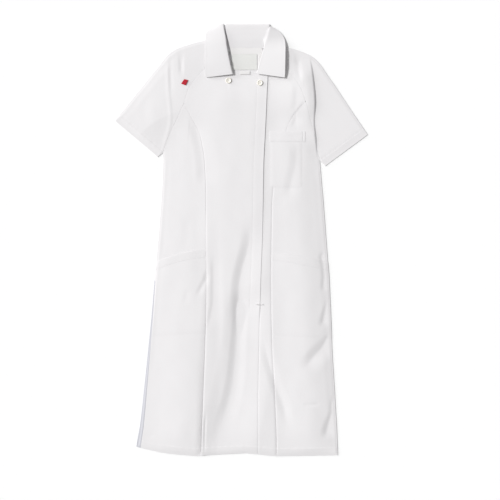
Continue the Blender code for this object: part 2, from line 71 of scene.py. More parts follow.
def smooth(share: Array | float) -> Array:
    """Ease from 0 to 1 with level ends."""
    share = np.clip(share, 0.0, 1.0)
    return share * share * (3.0 - 2.0 * share)


def along(rows: Sequence[Sequence[float]], value: Array | float, wanted: int, key: int = 0) -> Array:
    """Read one column of a table of rows in rising order of their key column.

    Args:
        rows: The table.
        value: Where to read it.
        wanted: The column to read.
        key: The column that holds the places.

    Returns:
        The column's value, straight between the rows.
    """
    return np.interp(value, [row[key] for row in rows], [row[wanted] for row in rows])


def curve_through(points: Sequence[Sequence[float]], step: float) -> Array:
    """Run a smooth curve through points.

    Args:
        points: The points that the curve passes through, two or three numbers each.
        step: The distance between the curve's own points.

    Returns:
        The curve's points, one row each.
    """
    knots = np.asarray(points, float)
    if len(knots) == 2:
        count = max(2, int(np.linalg.norm(knots[1] - knots[0]) / step) + 1)
        return knots[0] + (knots[1] - knots[0]) * np.linspace(0.0, 1.0, count)[:, None]
    padded = np.vstack([2 * knots[0] - knots[1], knots, 2 * knots[-1] - knots[-2]])
    pieces = []
    for before, start, end, after in zip(padded, padded[1:], padded[2:], padded[3:]):
        count = max(2, int(np.linalg.norm(end - start) / step) + 1)
        t = np.linspace(0.0, 1.0, count, endpoint=False)[:, None]
        pull = 2 * before - 5 * start + 4 * end - after
        twist = -before + 3 * start - 3 * end + after
        pieces.append(0.5 * (2 * start + (end - before) * t + pull * t * t + twist * t**3))
    pieces.append(knots[-1:])
    return np.vstack(pieces)


def length_of(line: Array) -> float:
    """Length of a line of points."""
    return float(np.linalg.norm(np.diff(line, axis=0), axis=1).sum())


def evenly(line: Array, pitch: float) -> Array:
    """Space points evenly along a line of points.

    Args:
        line: The line's points, one row each.
        pitch: The distance between the new points, or a little more or less so that they fit.

    Returns:
        The new points.
    """
    steps = np.linalg.norm(np.diff(line, axis=0), axis=1)
    reached = np.concatenate([[0.0], np.cumsum(steps)])
    wanted = np.linspace(0.0, reached[-1], max(2, int(round(reached[-1] / pitch)) + 1))
    return np.column_stack([np.interp(wanted, reached, line[:, k]) for k in range(line.shape[1])])


def stations(width: float, pitch: float, near: Sequence[float], far: Sequence[float]) -> Array:
    """Places across a panel, close together at its two borders.

    Args:
        width: The panel's width where it is widest.
        pitch: The distance between places in the middle.
        near: Distances of the close places from the near border, from 0 up.
        far: The same from the far border.

    Returns:
        Distances from the near border, in rising order.
    """
    start, end = near[-1], width - far[-1]
    middle = np.linspace(start, end, max(2, int(round((end - start) / pitch)) + 1))[1:-1]
    return np.concatenate([near, middle, width - np.asarray(far[::-1])])


# ---- the plan of the dress -----------------------------------------------------------------------


class Seam(Enum):
    """A named line down the dress, with its column in the body and yoke tables."""

    OUTER_LEFT = 1
    PRINCESS_LEFT = 2
    OPENING = 3
    PRINCESS_RIGHT = 4
    OUTER_RIGHT = 5


@dataclass(frozen=True)
class Plan:
    """The cut of the dress as it lies: seams, hems, sleeve tops and the neck.

    Each row of the body and yoke tables has a height and then the left side or raglan seam, left
    princess seam, front opening, right princess seam and right side or raglan seam.  A sleeve's rows
    have a height at the raglan seam and the place where the row meets the folded top.  Rows of the
    tops of the centre fronts have heights at the raglan seam and at the opening, and the sag between.
    """

    hem: float = -563.0
    underarm_left: float = 225.0
    underarm_right: float = 204.0
    join_left: float = 352.0
    join_right: float = 357.0
    fly_end: float = -178.0
    strip_top: float = -105.0
    body: tuple = (
        (-563, -274, -105, 43, 92, 251),
        (-500, -265, -103, 43, 91, 248.5),
        (-400, -255, -99, 43, 87, 243),
        (-300, -244.5, -95, 45, 80.5, 236.5),
        (-200, -234.5, -92, 47, 78, 232.5),
        (-100, -226, -91, 50, 77, 228),
        (0, -217, -92, 54, 78, 220.5),
        (100, -209, -93, 56, 79.5, 213),
        (150, -206, -93.5, 56.5, 84, 208.5),
        (204, -204, -96.5, 57.5, 95, 204),
    )
    yoke: tuple = (
        (225, -205, -98.5, 58.5, 100, 199),
        (260, -193, -105, 60.5, 109, 191),
        (280, -184, -110, 61.5, 115, 187),
        (300, -174.5, -121, 62.5, 121, 182),
        (330, -160, -138, 64, 139, 175),
        (352, -150.5, -150.2, 65, 159, 169.5),
        (357, -148.5, -150.2, 65, 166.7, 167),
        (390, -139.5, -150.2, 66.5, 167, 156),
        (417, -121, -150.2, 68, 167, 139.5),
        (446, -95, -150.2, 69, 167, 112),
    )
    sleeve_left: tuple = (
        (445, -72, 525), (428, -98, 517), (410, -121, 511), (392, -147, 503), (372, -173, 493),
        (350, -194, 477), (325, -216, 449), (305, -236, 425), (285, -256, 400), (265, -277, 374),
        (245, -297, 349), (225, -314, 328),
    )
    cuff_left: tuple = ((-329, 309), (-217, 214.5))
    sleeve_right: tuple = (
        (446, 76, 519), (428, 100, 508), (410, 124, 498), (392, 152, 490), (374, 181, 477),
        (355, 204, 456), (330, 222, 430), (305, 243, 400), (280, 263, 370), (255, 283, 340),
        (230, 301, 313), (204, 316, 291),
    )
    cuff_right: tuple = ((328.5, 273), (217, 191))
    top_left: tuple = (
        (352, 352, 0), (372, 368, 0), (392, 383, 1), (410, 398, 3), (428, 413, 6), (445, 427, 9),
    )
    top_right: tuple = (
        (357, 357, 0), (374, 370, 0), (392, 385, 0), (410, 399, 1), (428, 413, 1), (446, 427, 2),
    )
    neck: tuple = ((-95, 445), (-20, 427), (69, 427), (112, 446))
    hem_lift: tuple = (
        (-274, 25), (-256, 20), (-212, 10), (-173, 5), (-116, 0), (-90, 3), (9, 8), (87, 0), (251, 3),
    )
    hem_lift_reach: float = 150.0
    strip_widths: Point = (3.0, 12.0)

    def seam(self, seam: Seam, y: Array | float) -> Array:
        """X of a seam at height y."""
        return along(self.body + self.yoke, y, seam.value)

    def x_at(self, seam: Seam, y: float) -> float:
        """X of a seam at one height."""
        return float(self.seam(seam, y))

    def strip_width(self, y: Array | float) -> Array:
        """Width of the side strip beside the left front.

        Args:
            y: Height.

        Returns:
            The width, which is 0 above the strip's top.
        """
        share = (self.strip_top - np.asarray(y, float)) / (self.strip_top - self.hem)
        width = mix(self.strip_widths[0], self.strip_widths[1], np.clip(share, 0.0, 1.0))
        return np.where(share >= 0.0, width, 0.0)

    def settle(self, x: Array, y: Array) -> Array:
        """Y of places of the level cut as it lies, with the hem drawn up where it is uneven.

        Args:
            x: X of the places.
            y: Y of the places in the cut with a level hem.

        Returns:
            Y of the places as they lie.
        """
        share = 1.0 - (y - self.hem) / self.hem_lift_reach
        return y + along(self.hem_lift, x, 1) * smooth(share)


PLAN = Plan()


@dataclass(frozen=True)
class StitchPlan:
    """How far the rows of stitches lie from the borders that they follow."""

    hem: float = 21.0
    cuff: float = 19.0
    neck: float = 6.0
    fly: float = 26.0
    collar: float = 5.5
    waist_pocket: float = 3.0
    waist_band: float = 2.6
    chest: float = 2.4
    chest_band_top: float = 10.5
    pen_strip: float = 1.6


SEWN = StitchPlan()


# ---- how the cloth lies --------------------------------------------------------------------------

CREASE_STEP = 8.0
LONGEST_FADE = 0.45


@dataclass(frozen=True)
class Crease:
    """A soft ridge (height above 0) or trough (below 0) along a line listed from its top end.

    west and east are how far it reaches to each side, and a pair gives the reach at the line's top and
    bottom ends.  A higher sharpness makes a rounder bottom, and fade is how far it takes to reach its
    full height from each end.
    """

    height: float
    west: float | Point
    east: float | Point
    line: tuple
    sharpness: float = 2.0
    fade: float = 45.0

    def at(self, x: Array, y: Array) -> Array:
        """Height that the crease adds.

        Args:
            x: X of the places asked about.
            y: Y of the places asked about.

        Returns:
            The change of height at each place.
        """
        line = curve_through(self.line, CREASE_STEP)
        widest = float(np.max([np.max(self.west), np.max(self.east)]))
        low, high = line.min(0) - widest, line.max(0) + widest
        inside = (x > low[0]) & (x < high[0]) & (y > low[1]) & (y < high[1])
        total = np.zeros_like(x)
        if not inside.any():
            return total
        distance, side, passed, length = nearest(x[inside], y[inside], line)
        share = passed / length
        west, east = (
            mix(*reach, share) if isinstance(reach, tuple) else reach for reach in (self.west, self.east)
        )
        width = np.where(side > 0.0, east, west)
        profile = (1.0 - np.clip(distance / width, 0.0, 1.0) ** self.sharpness) ** 2
        if self.fade:
            fade = min(self.fade, LONGEST_FADE * length)
            profile *= smooth(passed / fade) * smooth((length - passed) / fade)
        total[inside] = self.height * profile
        return total


def nearest(x: Array, y: Array, line: Array) -> tuple[Array, Array, Array, float]:
    """Find the nearest place on a line of points.

    Args:
        x: X of the places asked about.
        y: Y of the places asked about.
        line: The line's points.

    Returns:
        Distance to the line, side of it (above 0 to the east of a line that runs down), distance
        passed along it, and its length.
    """
    best = np.full(x.shape, np.inf)
    side = np.zeros(x.shape)
    passed = np.zeros(x.shape)
    length = 0.0
    for (ax, ay), (bx, by) in zip(line, line[1:]):
        dx, dy = bx - ax, by - ay
        run = math.hypot(dx, dy)
        share = np.clip(((x - ax) * dx + (y - ay) * dy) / (run * run), 0.0, 1.0)
        distance = np.hypot(x - ax - share * dx, y - ay - share * dy)
        closer = distance < best
        best = np.where(closer, distance, best)
        side = np.where(closer, dx * (y - ay) - dy * (x - ax), side)
        passed = np.where(closer, length + share * run, passed)
        length += run
    return best, side, passed, length


CROWNS = (
    Crease(1.2, 95, 80, ((-140, 230), (-150, 60), (-160, -200), (-160, -600)), fade=0.0),
    Crease(3.0, 110, 130, ((-30, 340), (-20, 100), (-10, -200), (-20, -600)), fade=0.0),
    Crease(1.4, 90, 105, ((146, 260), (156, 0), (174, -300), (190, -600)), fade=0.0),
    Crease(1.0, 90, 105, ((150, 60), (158, -60), (174, -300), (200, -800)), fade=200.0),
    Crease(1.8, 95, 95, ((-205, 400), (-262, 292)), fade=0.0),
)

CREASES = (
    # Long fold down the middle of the skirt, from below the bust to the hem.
    Crease(-3.7, 24, (50, 80), (
        (24, 66), (22, 16), (15, -27), (4, -66), (-2, -92), (-6, -118), (-8, -160), (-9, -220), (-12, -262),
    ), 1.5, 125),
    Crease(-5.0, (44, 94), 80, (
        (-6, -120), (0, -165), (4, -209), (2, -287), (-4, -365), (-14, -420), (-24, -469), (-40, -530),
        (-50, -600),
    ), 1.9, 70),
    Crease(-2.2, (15, 26), (24, 40), (
        (-6, -120), (-8, -165), (-9, -209), (-15, -287), (-22, -365), (-36, -430), (-48, -469), (-58, -520),
    ), 1.8, 95),
    # Faint folds to the left of it.
    Crease(-1.0, 10, 30, ((-73, -35), (-74, -157), (-79, -190), (-87, -240)), 1.6),
    Crease(-1.1, 5, 4, ((-92, -440), (-95, -500), (-97, -620)), 1.5, 45),
    # Creases below the left pocket's inner corner.
    Crease(-1.2, 9, 16, ((-91, -78), (-95, -105), (-105, -124), (-117, -150)), 1.5, 24),
    Crease(-0.4, 10, 16, ((-136, -122), (-143, -145), (-151, -172)), 1.6, 24),
    # Bust and waist of the left front.
    Crease(-1.7, 22, 44, ((-131, 330), (-113, 272), (-101, 200), (-98, 130)), 1.6, 50),
    Crease(-0.4, 18, 20, ((-141, 72), (-142, 20), (-141, -34)), 1.8, 40),
    # Creases from the right raglan seam towards the chest pocket, and on down past the pocket.
    Crease(-0.8, 8, 30, ((170, 366), (152, 340), (123, 302)), 1.6, 24),
    Crease(-0.6, 8, 26, ((146, 324), (138, 305), (131, 287)), 1.6, 16),
    Crease(-0.9, 14, 34, ((143, 415), (143, 370), (138, 325)), 1.6, 30),
    Crease(-1.5, 22, 34, ((143, 262), (142, 225), (139, 190), (130, 152), (120, 98)), 1.5, 44),
    # Right side of the skirt, where it is bunched along the side seam.
    Crease(-3.2, 16, 22, ((208, -30), (214, -46), (219, -66), (221, -98)), 1.4, 22),
    Crease(-2.0, 11, 16, ((217, -76), (216, -104), (212, -138)), 1.4, 24),
    Crease(-2.0, 8, 12, ((223, -56), (226, -95), (227, -138)), 1.4, 26),
    Crease(-2.4, 13, 22, ((228, -150), (224, -175), (214, -205), (206, -232)), 1.4, 26),
    Crease(-3.2, 24, 38, ((262, -248), (222, -272), (187, -303), (160, -343)), 1.4, 46),
    Crease(-3.0, 10, 18, ((252, -388), (246, -404), (238, -426), (234, -450)), 1.3, 20),
    Crease(-3.2, 18, 30, ((254, -430), (240, -456), (226, -486), (215, -522)), 1.4, 30),
    Crease(-0.7, 7, 7, ((206, -425), (182, -429), (158, -427)), 1.6, 14),
    # Fold from the opening's end across the lower right of the skirt.
    Crease(-1.5, 18, 24, (
        (54, -250), (69, -313), (80, -352), (92, -391), (108, -430), (122, -500),
    ), 1.4, 70),
    # Right shoulder: a rise and the deep fold beside the raglan seam.
    Crease(4.5, 120, 60, ((172, 470), (178, 420), (181, 360), (181, 310)), 2.0, 50),
    Crease(-7.2, 8.5, 170, (
        (184, 492), (189, 440), (193, 400), (195.5, 362), (195, 330), (194.5, 298), (198, 259), (202, 228),
        (206, 198),
    ), 1.25, 24),
    Crease(-2.6, 6, 4, (
        (188, 440), (193, 400), (195.5, 362), (195, 330), (194.5, 298), (198, 259), (202, 228),
    ), 1.2, 30),
    Crease(-1.8, 26, 60, ((186, 470), (193, 400), (195, 362), (194, 298), (197.5, 259)), 1.6, 50),
    Crease(-1.2, 12, 13, ((146, 492), (147, 450), (154, 405)), 1.6, 30),
    # Left shoulder and the small ridge beside its raglan seam.
    Crease(-1.0, 10, 10, ((-157, 500), (-157, 460), (-156, 418)), 1.6, 30),
    Crease(-0.4, 9, 10, ((-183, 486), (-184, 430), (-180, 372)), 1.6, 34),
    Crease(0.45, 10, 7, (
        (-192, 462), (-190, 389), (-186, 350), (-184, 311), (-190, 280), (-199, 251), (-207, 222),
    ), 1.6, 30),
    # Sleeves, and a short crease at the skirt's lower left.
    Crease(-0.35, 18, 20, ((-238, 392), (-250, 340), (-246, 292)), 1.8, 40),
    Crease(-0.5, 18, 24, ((262, 340), (256, 290), (240, 232)), 1.8, 40),
    Crease(-0.6, 8, 8, ((-226, -508), (-242, -511), (-260, -509)), 1.6, 10),
)


@dataclass(frozen=True)
class Relief:
    """Height of the front's cloth above the ground that the back layer lies on.

    The cloth lies at its lowest height beside every border and stands on a low plateau inside them,
    with the crowns and creases on top.  What would sink below the knee levels out there.
    """

    lie: float = 1.28
    fold_drop: float = 1.12
    fold_width: float = 7.0
    plateau: float = 3.8
    plateau_edge: float = 76.0
    plateau_edge_left: float = 130.0
    hem_share: float = 0.45
    hem_reach: float = 70.0
    cuff_reach: float = 70.0
    crown_edge: float = 26.0
    crease_edge: float = 9.0
    open_width: float = 20.0
    edge_width: float = 3.0
    hem_border: float = 0.8
    cuff_border: float = 0.25
    neck_start: float = 4.0
    knee: float = 0.3
    waves: int = 28
    wave_height: float = 0.13
    wave_lengths: Point = (38.0, 130.0)
    wave_lean: float = 0.7
    seed: int = 7

    def folded_edges(self) -> list[Array]:
        """The lines where the front turns under to the back."""
        left = [(row[Seam.OUTER_LEFT.value], row[0]) for row in (*PLAN.body, PLAN.yoke[0])]
        left.append(PLAN.cuff_left[1])
        right = [(row[Seam.OUTER_RIGHT.value], row[0]) for row in PLAN.body] + [PLAN.cuff_right[1]]
        top_left = [row[1:] for row in PLAN.sleeve_left] + [PLAN.cuff_left[0]]
        top_right = [row[1:] for row in PLAN.sleeve_right] + [PLAN.cuff_right[0]]
        return [np.array(line, float) for line in (left, top_left, right, top_right)]

    def open_edges(self) -> list[Array]:
        """The lines of the skirt's hem and both sleeves' hems."""
        hem = [(x, PLAN.hem + lift) for x, lift in PLAN.hem_lift]
        return [np.array(line, float) for line in (hem, PLAN.cuff_left, PLAN.cuff_right)]

    def ripple(self, x: Array, y: Array) -> Array:
        """Low soft unevenness all over the cloth.

        Args:
            x: X of the places asked about.
            y: Y of the places asked about.

        Returns:
            The change of height at each place.
        """
        draw = np.random.default_rng(self.seed)
        total = np.zeros_like(x)
        for _ in range(self.waves):
            length = draw.uniform(*self.wave_lengths)
            angle = draw.normal(0.0, self.wave_lean)
            start = draw.uniform(0.0, 2.0 * math.pi)
            phase = 2.0 * math.pi * (x * math.cos(angle) + y * math.sin(angle)) / length
            total += math.sqrt(length / self.wave_lengths[1]) * np.sin(phase + start)
        return self.wave_height * total / math.sqrt(self.waves / 2.0)

    def __call__(self, x: Array, y: Array) -> Array:
        """Height of the cloth's underside.

        Args:
            x: X of places of the front.
            y: Y of the places as the cloth lies.

        Returns:
            The height at each place.
        """
        shape = x.shape
        x, y = x.ravel(), y.ravel()
        folds = [nearest(x, y, line)[0] for line in self.folded_edges()]
        left, right = np.minimum(*folds[:2]), np.minimum(*folds[2:])
        edge = np.minimum(left, right)
        hem, *cuffs = [nearest(x, y, line)[0] for line in self.open_edges()]
        cuff = np.minimum(*cuffs)
        neck = nearest(x, y, np.array(PLAN.neck, float))[0] + self.neck_start
        crown_edge = np.minimum(edge, neck)
        crowns = sum(crown.at(x, y) for crown in CROWNS) * smooth(crown_edge / self.crown_edge)
        creases = sum(crease.at(x, y) for crease in CREASES) + self.ripple(x, y)
        rise = smooth(left / self.plateau_edge_left) * smooth(np.minimum(right, neck) / self.plateau_edge)
        total = crowns + self.plateau * rise + creases * smooth(edge / self.crease_edge)
        total *= mix(self.hem_share, 1.0, smooth(hem / self.hem_reach) * smooth(cuff / self.cuff_reach))
        low = self.knee * np.exp(np.minimum(total, self.knee) / self.knee - 1.0)
        soft = np.where(total > self.knee, total, low)
        flat = self.knee * math.exp(-1.0)
        border = np.minimum(edge, np.minimum(self.hem_border * hem, self.cuff_border * cuff))
        fold = self.fold_drop * (1.0 - smooth(border / self.fold_width))
        flattened = smooth(edge / self.edge_width) * smooth(np.minimum(hem, cuff) / self.open_width)
        return (self.lie + (soft - flat) * flattened - fold).reshape(shape)


RELIEF = Relief()


@dataclass(frozen=True)
class FlyLift:
    """Extra height of the left front where it lies over the strip under the opening.

    over_strip and lip are heights low and high on the opening, and each grows over its climb.
    """

    over_strip: Point = (0.8, 1.7)
    strip_climb: float = 200.0
    strip_reach: float = 80.0
    lip: Point = (0.1, 0.2)
    lip_climb: float = 260.0
    lip_reach: float = 7.0
    start: float = 40.0
    start_length: float = 36.0

    def __call__(self, x: Array, y: Array) -> Array:
        """The extra height.

        Args:
            x: X of places of the left front.
            y: Y of the places.

        Returns:
            The height at each place.
        """
        inside = x - PLAN.seam(Seam.OPENING, y)
        strip = mix(*self.over_strip, smooth(y / self.strip_climb))
        lip = mix(*self.lip, smooth(y / self.lip_climb))
        total = strip * smooth(inside / self.strip_reach + 1.0) + lip * smooth(inside / self.lip_reach + 1.0)
        return total * smooth((y - PLAN.fly_end + self.start) / self.start_length)


FLY_LIFT = FlyLift()

# Rows of height, change of height at the princess seam and how far from the seam it reaches.
SINKS_LEFT = (
    (-563, 1.8, 22), (-540, 2.2, 22), (-495, 2.9, 22), (-430, 3.0, 26), (-365, 2.9, 30), (-300, 2.4, 26),
    (-157, 1.3, 14), (-60, 0.5, 12), (60, 0.0, 10),
)
RISES_LEFT = (
    (-563, 1.4, 44), (-495, 2.6, 44), (-430, 2.9, 44), (-365, 2.7, 44), (-300, 2.6, 42), (-200, 2.4, 38),
    (-100, 2.0, 34), (0, 1.0, 34), (80, 0.0, 34),
)
SINKS_RIGHT = (
    (-563, 1.0, 10), (-469, 0.9, 10), (-400, 0.7, 10), (-290, 0.4, 8), (-105, 0.5, 12), (0, 0.4, 12),
    (150, 0.0, 10),
)


def sink(table: tuple, distance: Array, y: Array) -> Array:
    """How far cloth sinks towards a princess seam.

    Args:
        table: Rows of height, depth at the seam and how far from the seam it starts.
        distance: Distance from the seam.
        y: Height.

    Returns:
        The change of height.
    """
    return -along(table, y, 1) * (1.0 - np.clip(distance / along(table, y, 2), 0.0, 1.0)) ** 3


def swell(table: tuple, distance: Array, y: Array) -> Array:
    """How far cloth stands up beside a princess seam.

    Args:
        table: Rows of height, rise at the seam and how far from the seam it ends.
        distance: Distance from the seam.
        y: Height.

    Returns:
        The change of height.
    """
    return along(table, y, 1) * (1.0 - smooth(distance / along(table, y, 2)))


# ---- cloth as meshes -----------------------------------------------------------------------------

# Thickness of each kind of cloth.
CLOTH = 1.2
POCKET_CLOTH = 0.42
BAND_CLOTH = 0.6
COLLAR_CLOTH = 1.5
TRIM_CLOTH = 0.8

# Shares of the thickness at a border and one place in from it.
CLOTH_RIM = (0.78, 0.95)
TRIM_RIM = (0.4, 0.85)
POCKET_RIM = (0.35, 0.8)
COLLAR_BACK_RIM = (0.3, 0.75)

# How far a folded border is rounded, and how far in from it the cloth is drawn inwards.
ROLL = 0.4
ROLL_REACH = 8.0

# Least room under the cloth, half of the room between panels at a seam, and depths of seams.
GROUND_ROOM = 0.45
SEAM_ROOM = 0.04
SEAM_DIP = 0.34
FAINT_DIP = 0.06

# Distance between the points of cloth, and the close places beside a border.
PITCH = 3.2
CLOSE = (0.0, 0.35, 1.0, 2.0, 3.4, 5.4)


def mesh_of(name: str, points: Array, faces: Sequence[Array]) -> bpy.types.Mesh:
    """Make a smooth-shaded mesh.

    Args:
        name: The mesh's name.
        points: Its points in millimetres.
        faces: Arrays of faces, one row of point numbers each.

    Returns:
        The mesh, in metres.
    """
    mesh = bpy.data.meshes.new(name)
    mesh.vertices.add(len(points))
    mesh.vertices.foreach_set("co", (np.asarray(points, float) * MM).astype(np.float32).ravel())
    corners = np.concatenate([group.ravel() for group in faces])
    sizes = np.concatenate([np.full(len(group), group.shape[1]) for group in faces])
    mesh.loops.add(len(corners))
    mesh.loops.foreach_set("vertex_index", corners.astype(np.int32))
    mesh.polygons.add(len(sizes))
    starts = np.concatenate([[0], np.cumsum(sizes)[:-1]])
    mesh.polygons.foreach_set("loop_start", starts.astype(np.int32))
    mesh.update(calc_edges=True)
    mesh.validate()
    mesh.shade_smooth()
    return mesh


def grid_faces(rows: int, columns: int, first: int = 0, ring: bool = False) -> Array:
    """Faces of a grid of points, counter-clockwise when columns run right and rows run up.

    Args:
        rows: Number of rows of points.
        columns: Number of columns of points.
        first: Number of the grid's first point.
        ring: True if the last column joins the first.

    Returns:
        The faces, four point numbers each.
    """
    numbers = first + np.arange(rows * columns).reshape(rows, columns)
    if ring:
        numbers = np.column_stack([numbers, numbers[:, 0]])
    corners = (numbers[:-1, :-1], numbers[:-1, 1:], numbers[1:, 1:], numbers[1:, :-1])
    return np.stack(corners, -1).reshape(-1, 4)


def normals_of(grid: Array) -> Array:
    """Directions square to a grid of points.

    Args:
        grid: Rows and columns of points.

    Returns:
        One direction for each point, up where columns run right and rows run up.
    """
    normal = np.cross(np.gradient(grid, axis=1), np.gradient(grid, axis=0))
    return normal / np.maximum(np.linalg.norm(normal, axis=2, keepdims=True), TINY)


def shell(name: str, middle: Array, thickness: float, rim: Point = TRIM_RIM) -> bpy.types.Mesh:
    """Make closed cloth round a grid of points of its middle, with rounded rims.

    Args:
        name: The mesh's name.
        middle: Rows and columns of points, columns running right and rows up where it lies flat.
        thickness: The cloth's thickness.
        rim: Share of the thickness at the border and one place in from it.

    Returns:
        The mesh.
    """
    rows, columns = middle.shape[:2]
    share = np.ones((rows, columns))
    for place, part in reversed(list(enumerate(rim))):
        inner = share[place:rows - place, place:columns - place]
        inner[0], inner[-1], inner[:, 0], inner[:, -1] = part, part, part, part
    offset = normals_of(middle) * (share * thickness / 2.0)[:, :, None]
    points = np.vstack([(middle + offset).reshape(-1, 3), (middle - offset).reshape(-1, 3)])
    count = rows * columns
    numbers = np.arange(count).reshape(rows, columns)
    border = np.concatenate([numbers[0, :-1], numbers[:-1, -1], numbers[-1, :0:-1], numbers[:0:-1, 0]])
    after = np.roll(border, -1)
    sides = np.column_stack([border + count, after + count, after, border])
    under = grid_faces(rows, columns, count)[:, ::-1]
    return mesh_of(name, points, [grid_faces(rows, columns), under, sides])


@dataclass(frozen=True)
class Sides:
    """Places of a panel's points and how far each is from the panel's four borders."""

    x: Array
    y: Array
    left: Array
    right: Array
    bottom: Array
    top: Array

    def inward(self, reach: float) -> Array:
        """0 at the left and right borders and 1 beyond a reach from both."""
        return smooth(self.left / reach) * smooth(self.right / reach)


def sewn(distance: Array, at: float, depth: float = 0.12, width: float = 1.0) -> Array:
    """The small trough that a row of stitches pulls into cloth at a distance from a border."""
    return -depth * np.exp(-(((distance - at) / width) ** 2))


def doubled(distance: Array, width: float, height: float = 0.28, edge: float = 2.6) -> Array:
    """The extra height of cloth that lies on its own turned edge of some width."""
    return height * (1.0 - smooth((distance - width) / edge + 0.5))


def pucker(distance: Array, place: Array, height: float = 0.04, reach: float = 9.0) -> Array:
    """Small ripples square to a seam that die away from it.

    Args:
        distance: Distance from the seam.
        place: Place along the seam.
        height: Height of the ripples at the seam.
        reach: How far from the seam they go.

    Returns:
        The change of height.
    """
    wave = np.sin(place / 2.3 + 1.7 * np.sin(place / 17.0)) + 0.6 * np.sin(place / 3.7 + 0.8)
    return height * wave * np.exp(-((distance / reach) ** 2))


@dataclass
class Panel:
    """A panel of the front: its borders row by row and how they end.

    Each row is its left end, its right end and how far its middle sags.  lift and extra add height by
    place and by distance from the borders.  near and far are the close places at the left and right
    borders.  dip_left and dip_right are how deep a border sinks into its seam, and roll_left and
    roll_right how much of it turns under, from 0 to 1, at each height.  A panel with a base lies level
    at that height.
    """

    name: str
    rows: list
    lift: Lift | None = None
    pitch: float = PITCH
    thickness: float = CLOTH
    near: tuple = CLOSE
    far: tuple = CLOSE
    dip_left: float | AtHeight = FAINT_DIP
    dip_right: float | AtHeight = FAINT_DIP
    dip_width: float = 2.6
    roll_left: AtHeight | None = None
    roll_right: AtHeight | None = None
    extra: Callable[[Sides], Array] | None = None
    base: float | None = None

    def shares(self, widths: Array) -> Array:
        """Places of the points of every row between its ends.

        Args:
            widths: Every row's width.

        Returns:
            Shares of the way from left to right, one row for each row.
        """
        width = float(widths.max())
        places = stations(width, self.pitch, self.near, self.far)
        ends = self.near[-1] + self.far[-1]
        shares = np.empty((len(widths), len(places)))
        for index, own in enumerate(widths):
            scale = min(1.0, 0.8 * own / ends)
            near, far = np.array(self.near) * scale, np.array(self.far) * scale
            inner = (places[len(near):-len(far)] - self.near[-1]) / (width - ends)
            inside = near[-1] + inner * (own - near[-1] - far[-1])
            shares[index] = np.concatenate([near, inside, own - far[::-1]]) / own
        return shares

    def near_seam(self, distance: Array) -> Array:
        """How much of a border's dip there is at a distance from it, from 0 to 1."""
        return np.exp(-2.0 * (distance / self.dip_width) ** 2)

    def middle(self) -> Array:
        """Points of the middle of the panel's cloth."""
        left, right = (np.array([row[end] for row in self.rows], float) for end in (0, 1))
        sag = np.array([row[2] for row in self.rows], float)[:, None]
        widths = np.linalg.norm(right - left, axis=1)
        share = self.shares(widths)
        x = left[:, :1] + (right - left)[:, :1] * share
        level_y = left[:, 1:] + (right - left)[:, 1:] * share - sag * 4.0 * share * (1.0 - share)
        y = PLAN.settle(x, level_y)
        if self.base is not None:
            return np.dstack([x, y, np.full_like(x, self.base + self.thickness / 2.0)])
        steps = np.hypot(np.diff(x, axis=0), np.diff(level_y, axis=0))
        up = np.vstack([np.zeros_like(x[:1]), np.cumsum(steps, axis=0)])
        sides = Sides(x, y, share * widths[:, None], (1.0 - share) * widths[:, None], up, up[-1:] - up)
        return self.turned(sides)

    def height(self, sides: Sides, dips: Sequence[float | Array]) -> Array:
        """Height of the middle of the cloth before its borders turn under.

        Args:
            sides: The panel's points.
            dips: How deep the left and the right border sink.

        Returns:
            The height of each point.
        """
        z = RELIEF(sides.x, sides.y) + self.thickness / 2.0
        if self.lift:
            z = z + self.lift(sides.x, sides.y)
        if self.extra:
            z = z + self.extra(sides)
        for dip, distance in zip(dips, (sides.left, sides.right)):
            z = z - dip * self.near_seam(distance)
        return np.maximum(z, self.thickness / 2.0 + GROUND_ROOM)

    def turned(self, sides: Sides) -> Array:
        """The panel with its folded borders turned under.

        Args:
            sides: The panel's points.

        Returns:
            The points of the middle of the cloth.
        """
        dips = [dip(sides.y) if callable(dip) else dip for dip in (self.dip_left, self.dip_right)]
        x, z = sides.x, self.height(sides, dips)
        rolls, distances = (self.roll_left, self.roll_right), (sides.left, sides.right)
        for roll, distance, inward, dip in zip(rolls, distances, (1.0, -1.0), dips):
            if roll is None:
                continue
            amount = roll(sides.y)
            inside = np.clip(distance, 0.0, ROLL)
            drop = ROLL - np.sqrt(np.maximum(ROLL**2 - (ROLL - inside) ** 2, 0.0))
            z = z + amount * (dip * self.near_seam(distance) - drop)
            x = x + inward * amount * self.thickness / 2.0 * (1.0 - smooth(distance / ROLL_REACH))
        return np.dstack([x, sides.y, z])


class Border(Enum):
    """A border of a grid of points."""

    LEFT = "left"
    RIGHT = "right"
    BOTTOM = "bottom"
    TOP = "top"


def passed_along(grid: Array) -> Array:
    """Distance passed along each row of a grid of points."""
    steps = np.linalg.norm(np.diff(grid, axis=1), axis=2)
    return np.hstack([np.zeros((len(grid), 1)), np.cumsum(steps, axis=1)])


def inset_line(middle: Array, border: Border, distance: float, raise_by: float, trim: int = 1) -> Array:
    """A line on a piece's upper side at a distance from one border.

    Args:
        middle: The grid of the piece's middle.
        border: The border that the distance starts from.
        distance: The distance.
        raise_by: How far above the middle the line lies.
        trim: How many points are left out at both ends.

    Returns:
        The line's points.
    """
    lifted = middle + normals_of(middle) * raise_by
    if border in (Border.TOP, Border.BOTTOM):
        lifted = np.swapaxes(lifted, 0, 1)
    if border in (Border.TOP, Border.RIGHT):
        lifted = lifted[:, ::-1]
    reached = passed_along(lifted)
    line = [[np.interp(distance, reached[i], row[:, k]) for k in range(3)] for i, row in enumerate(lifted)]
    return np.array(line[trim:len(line) - trim])


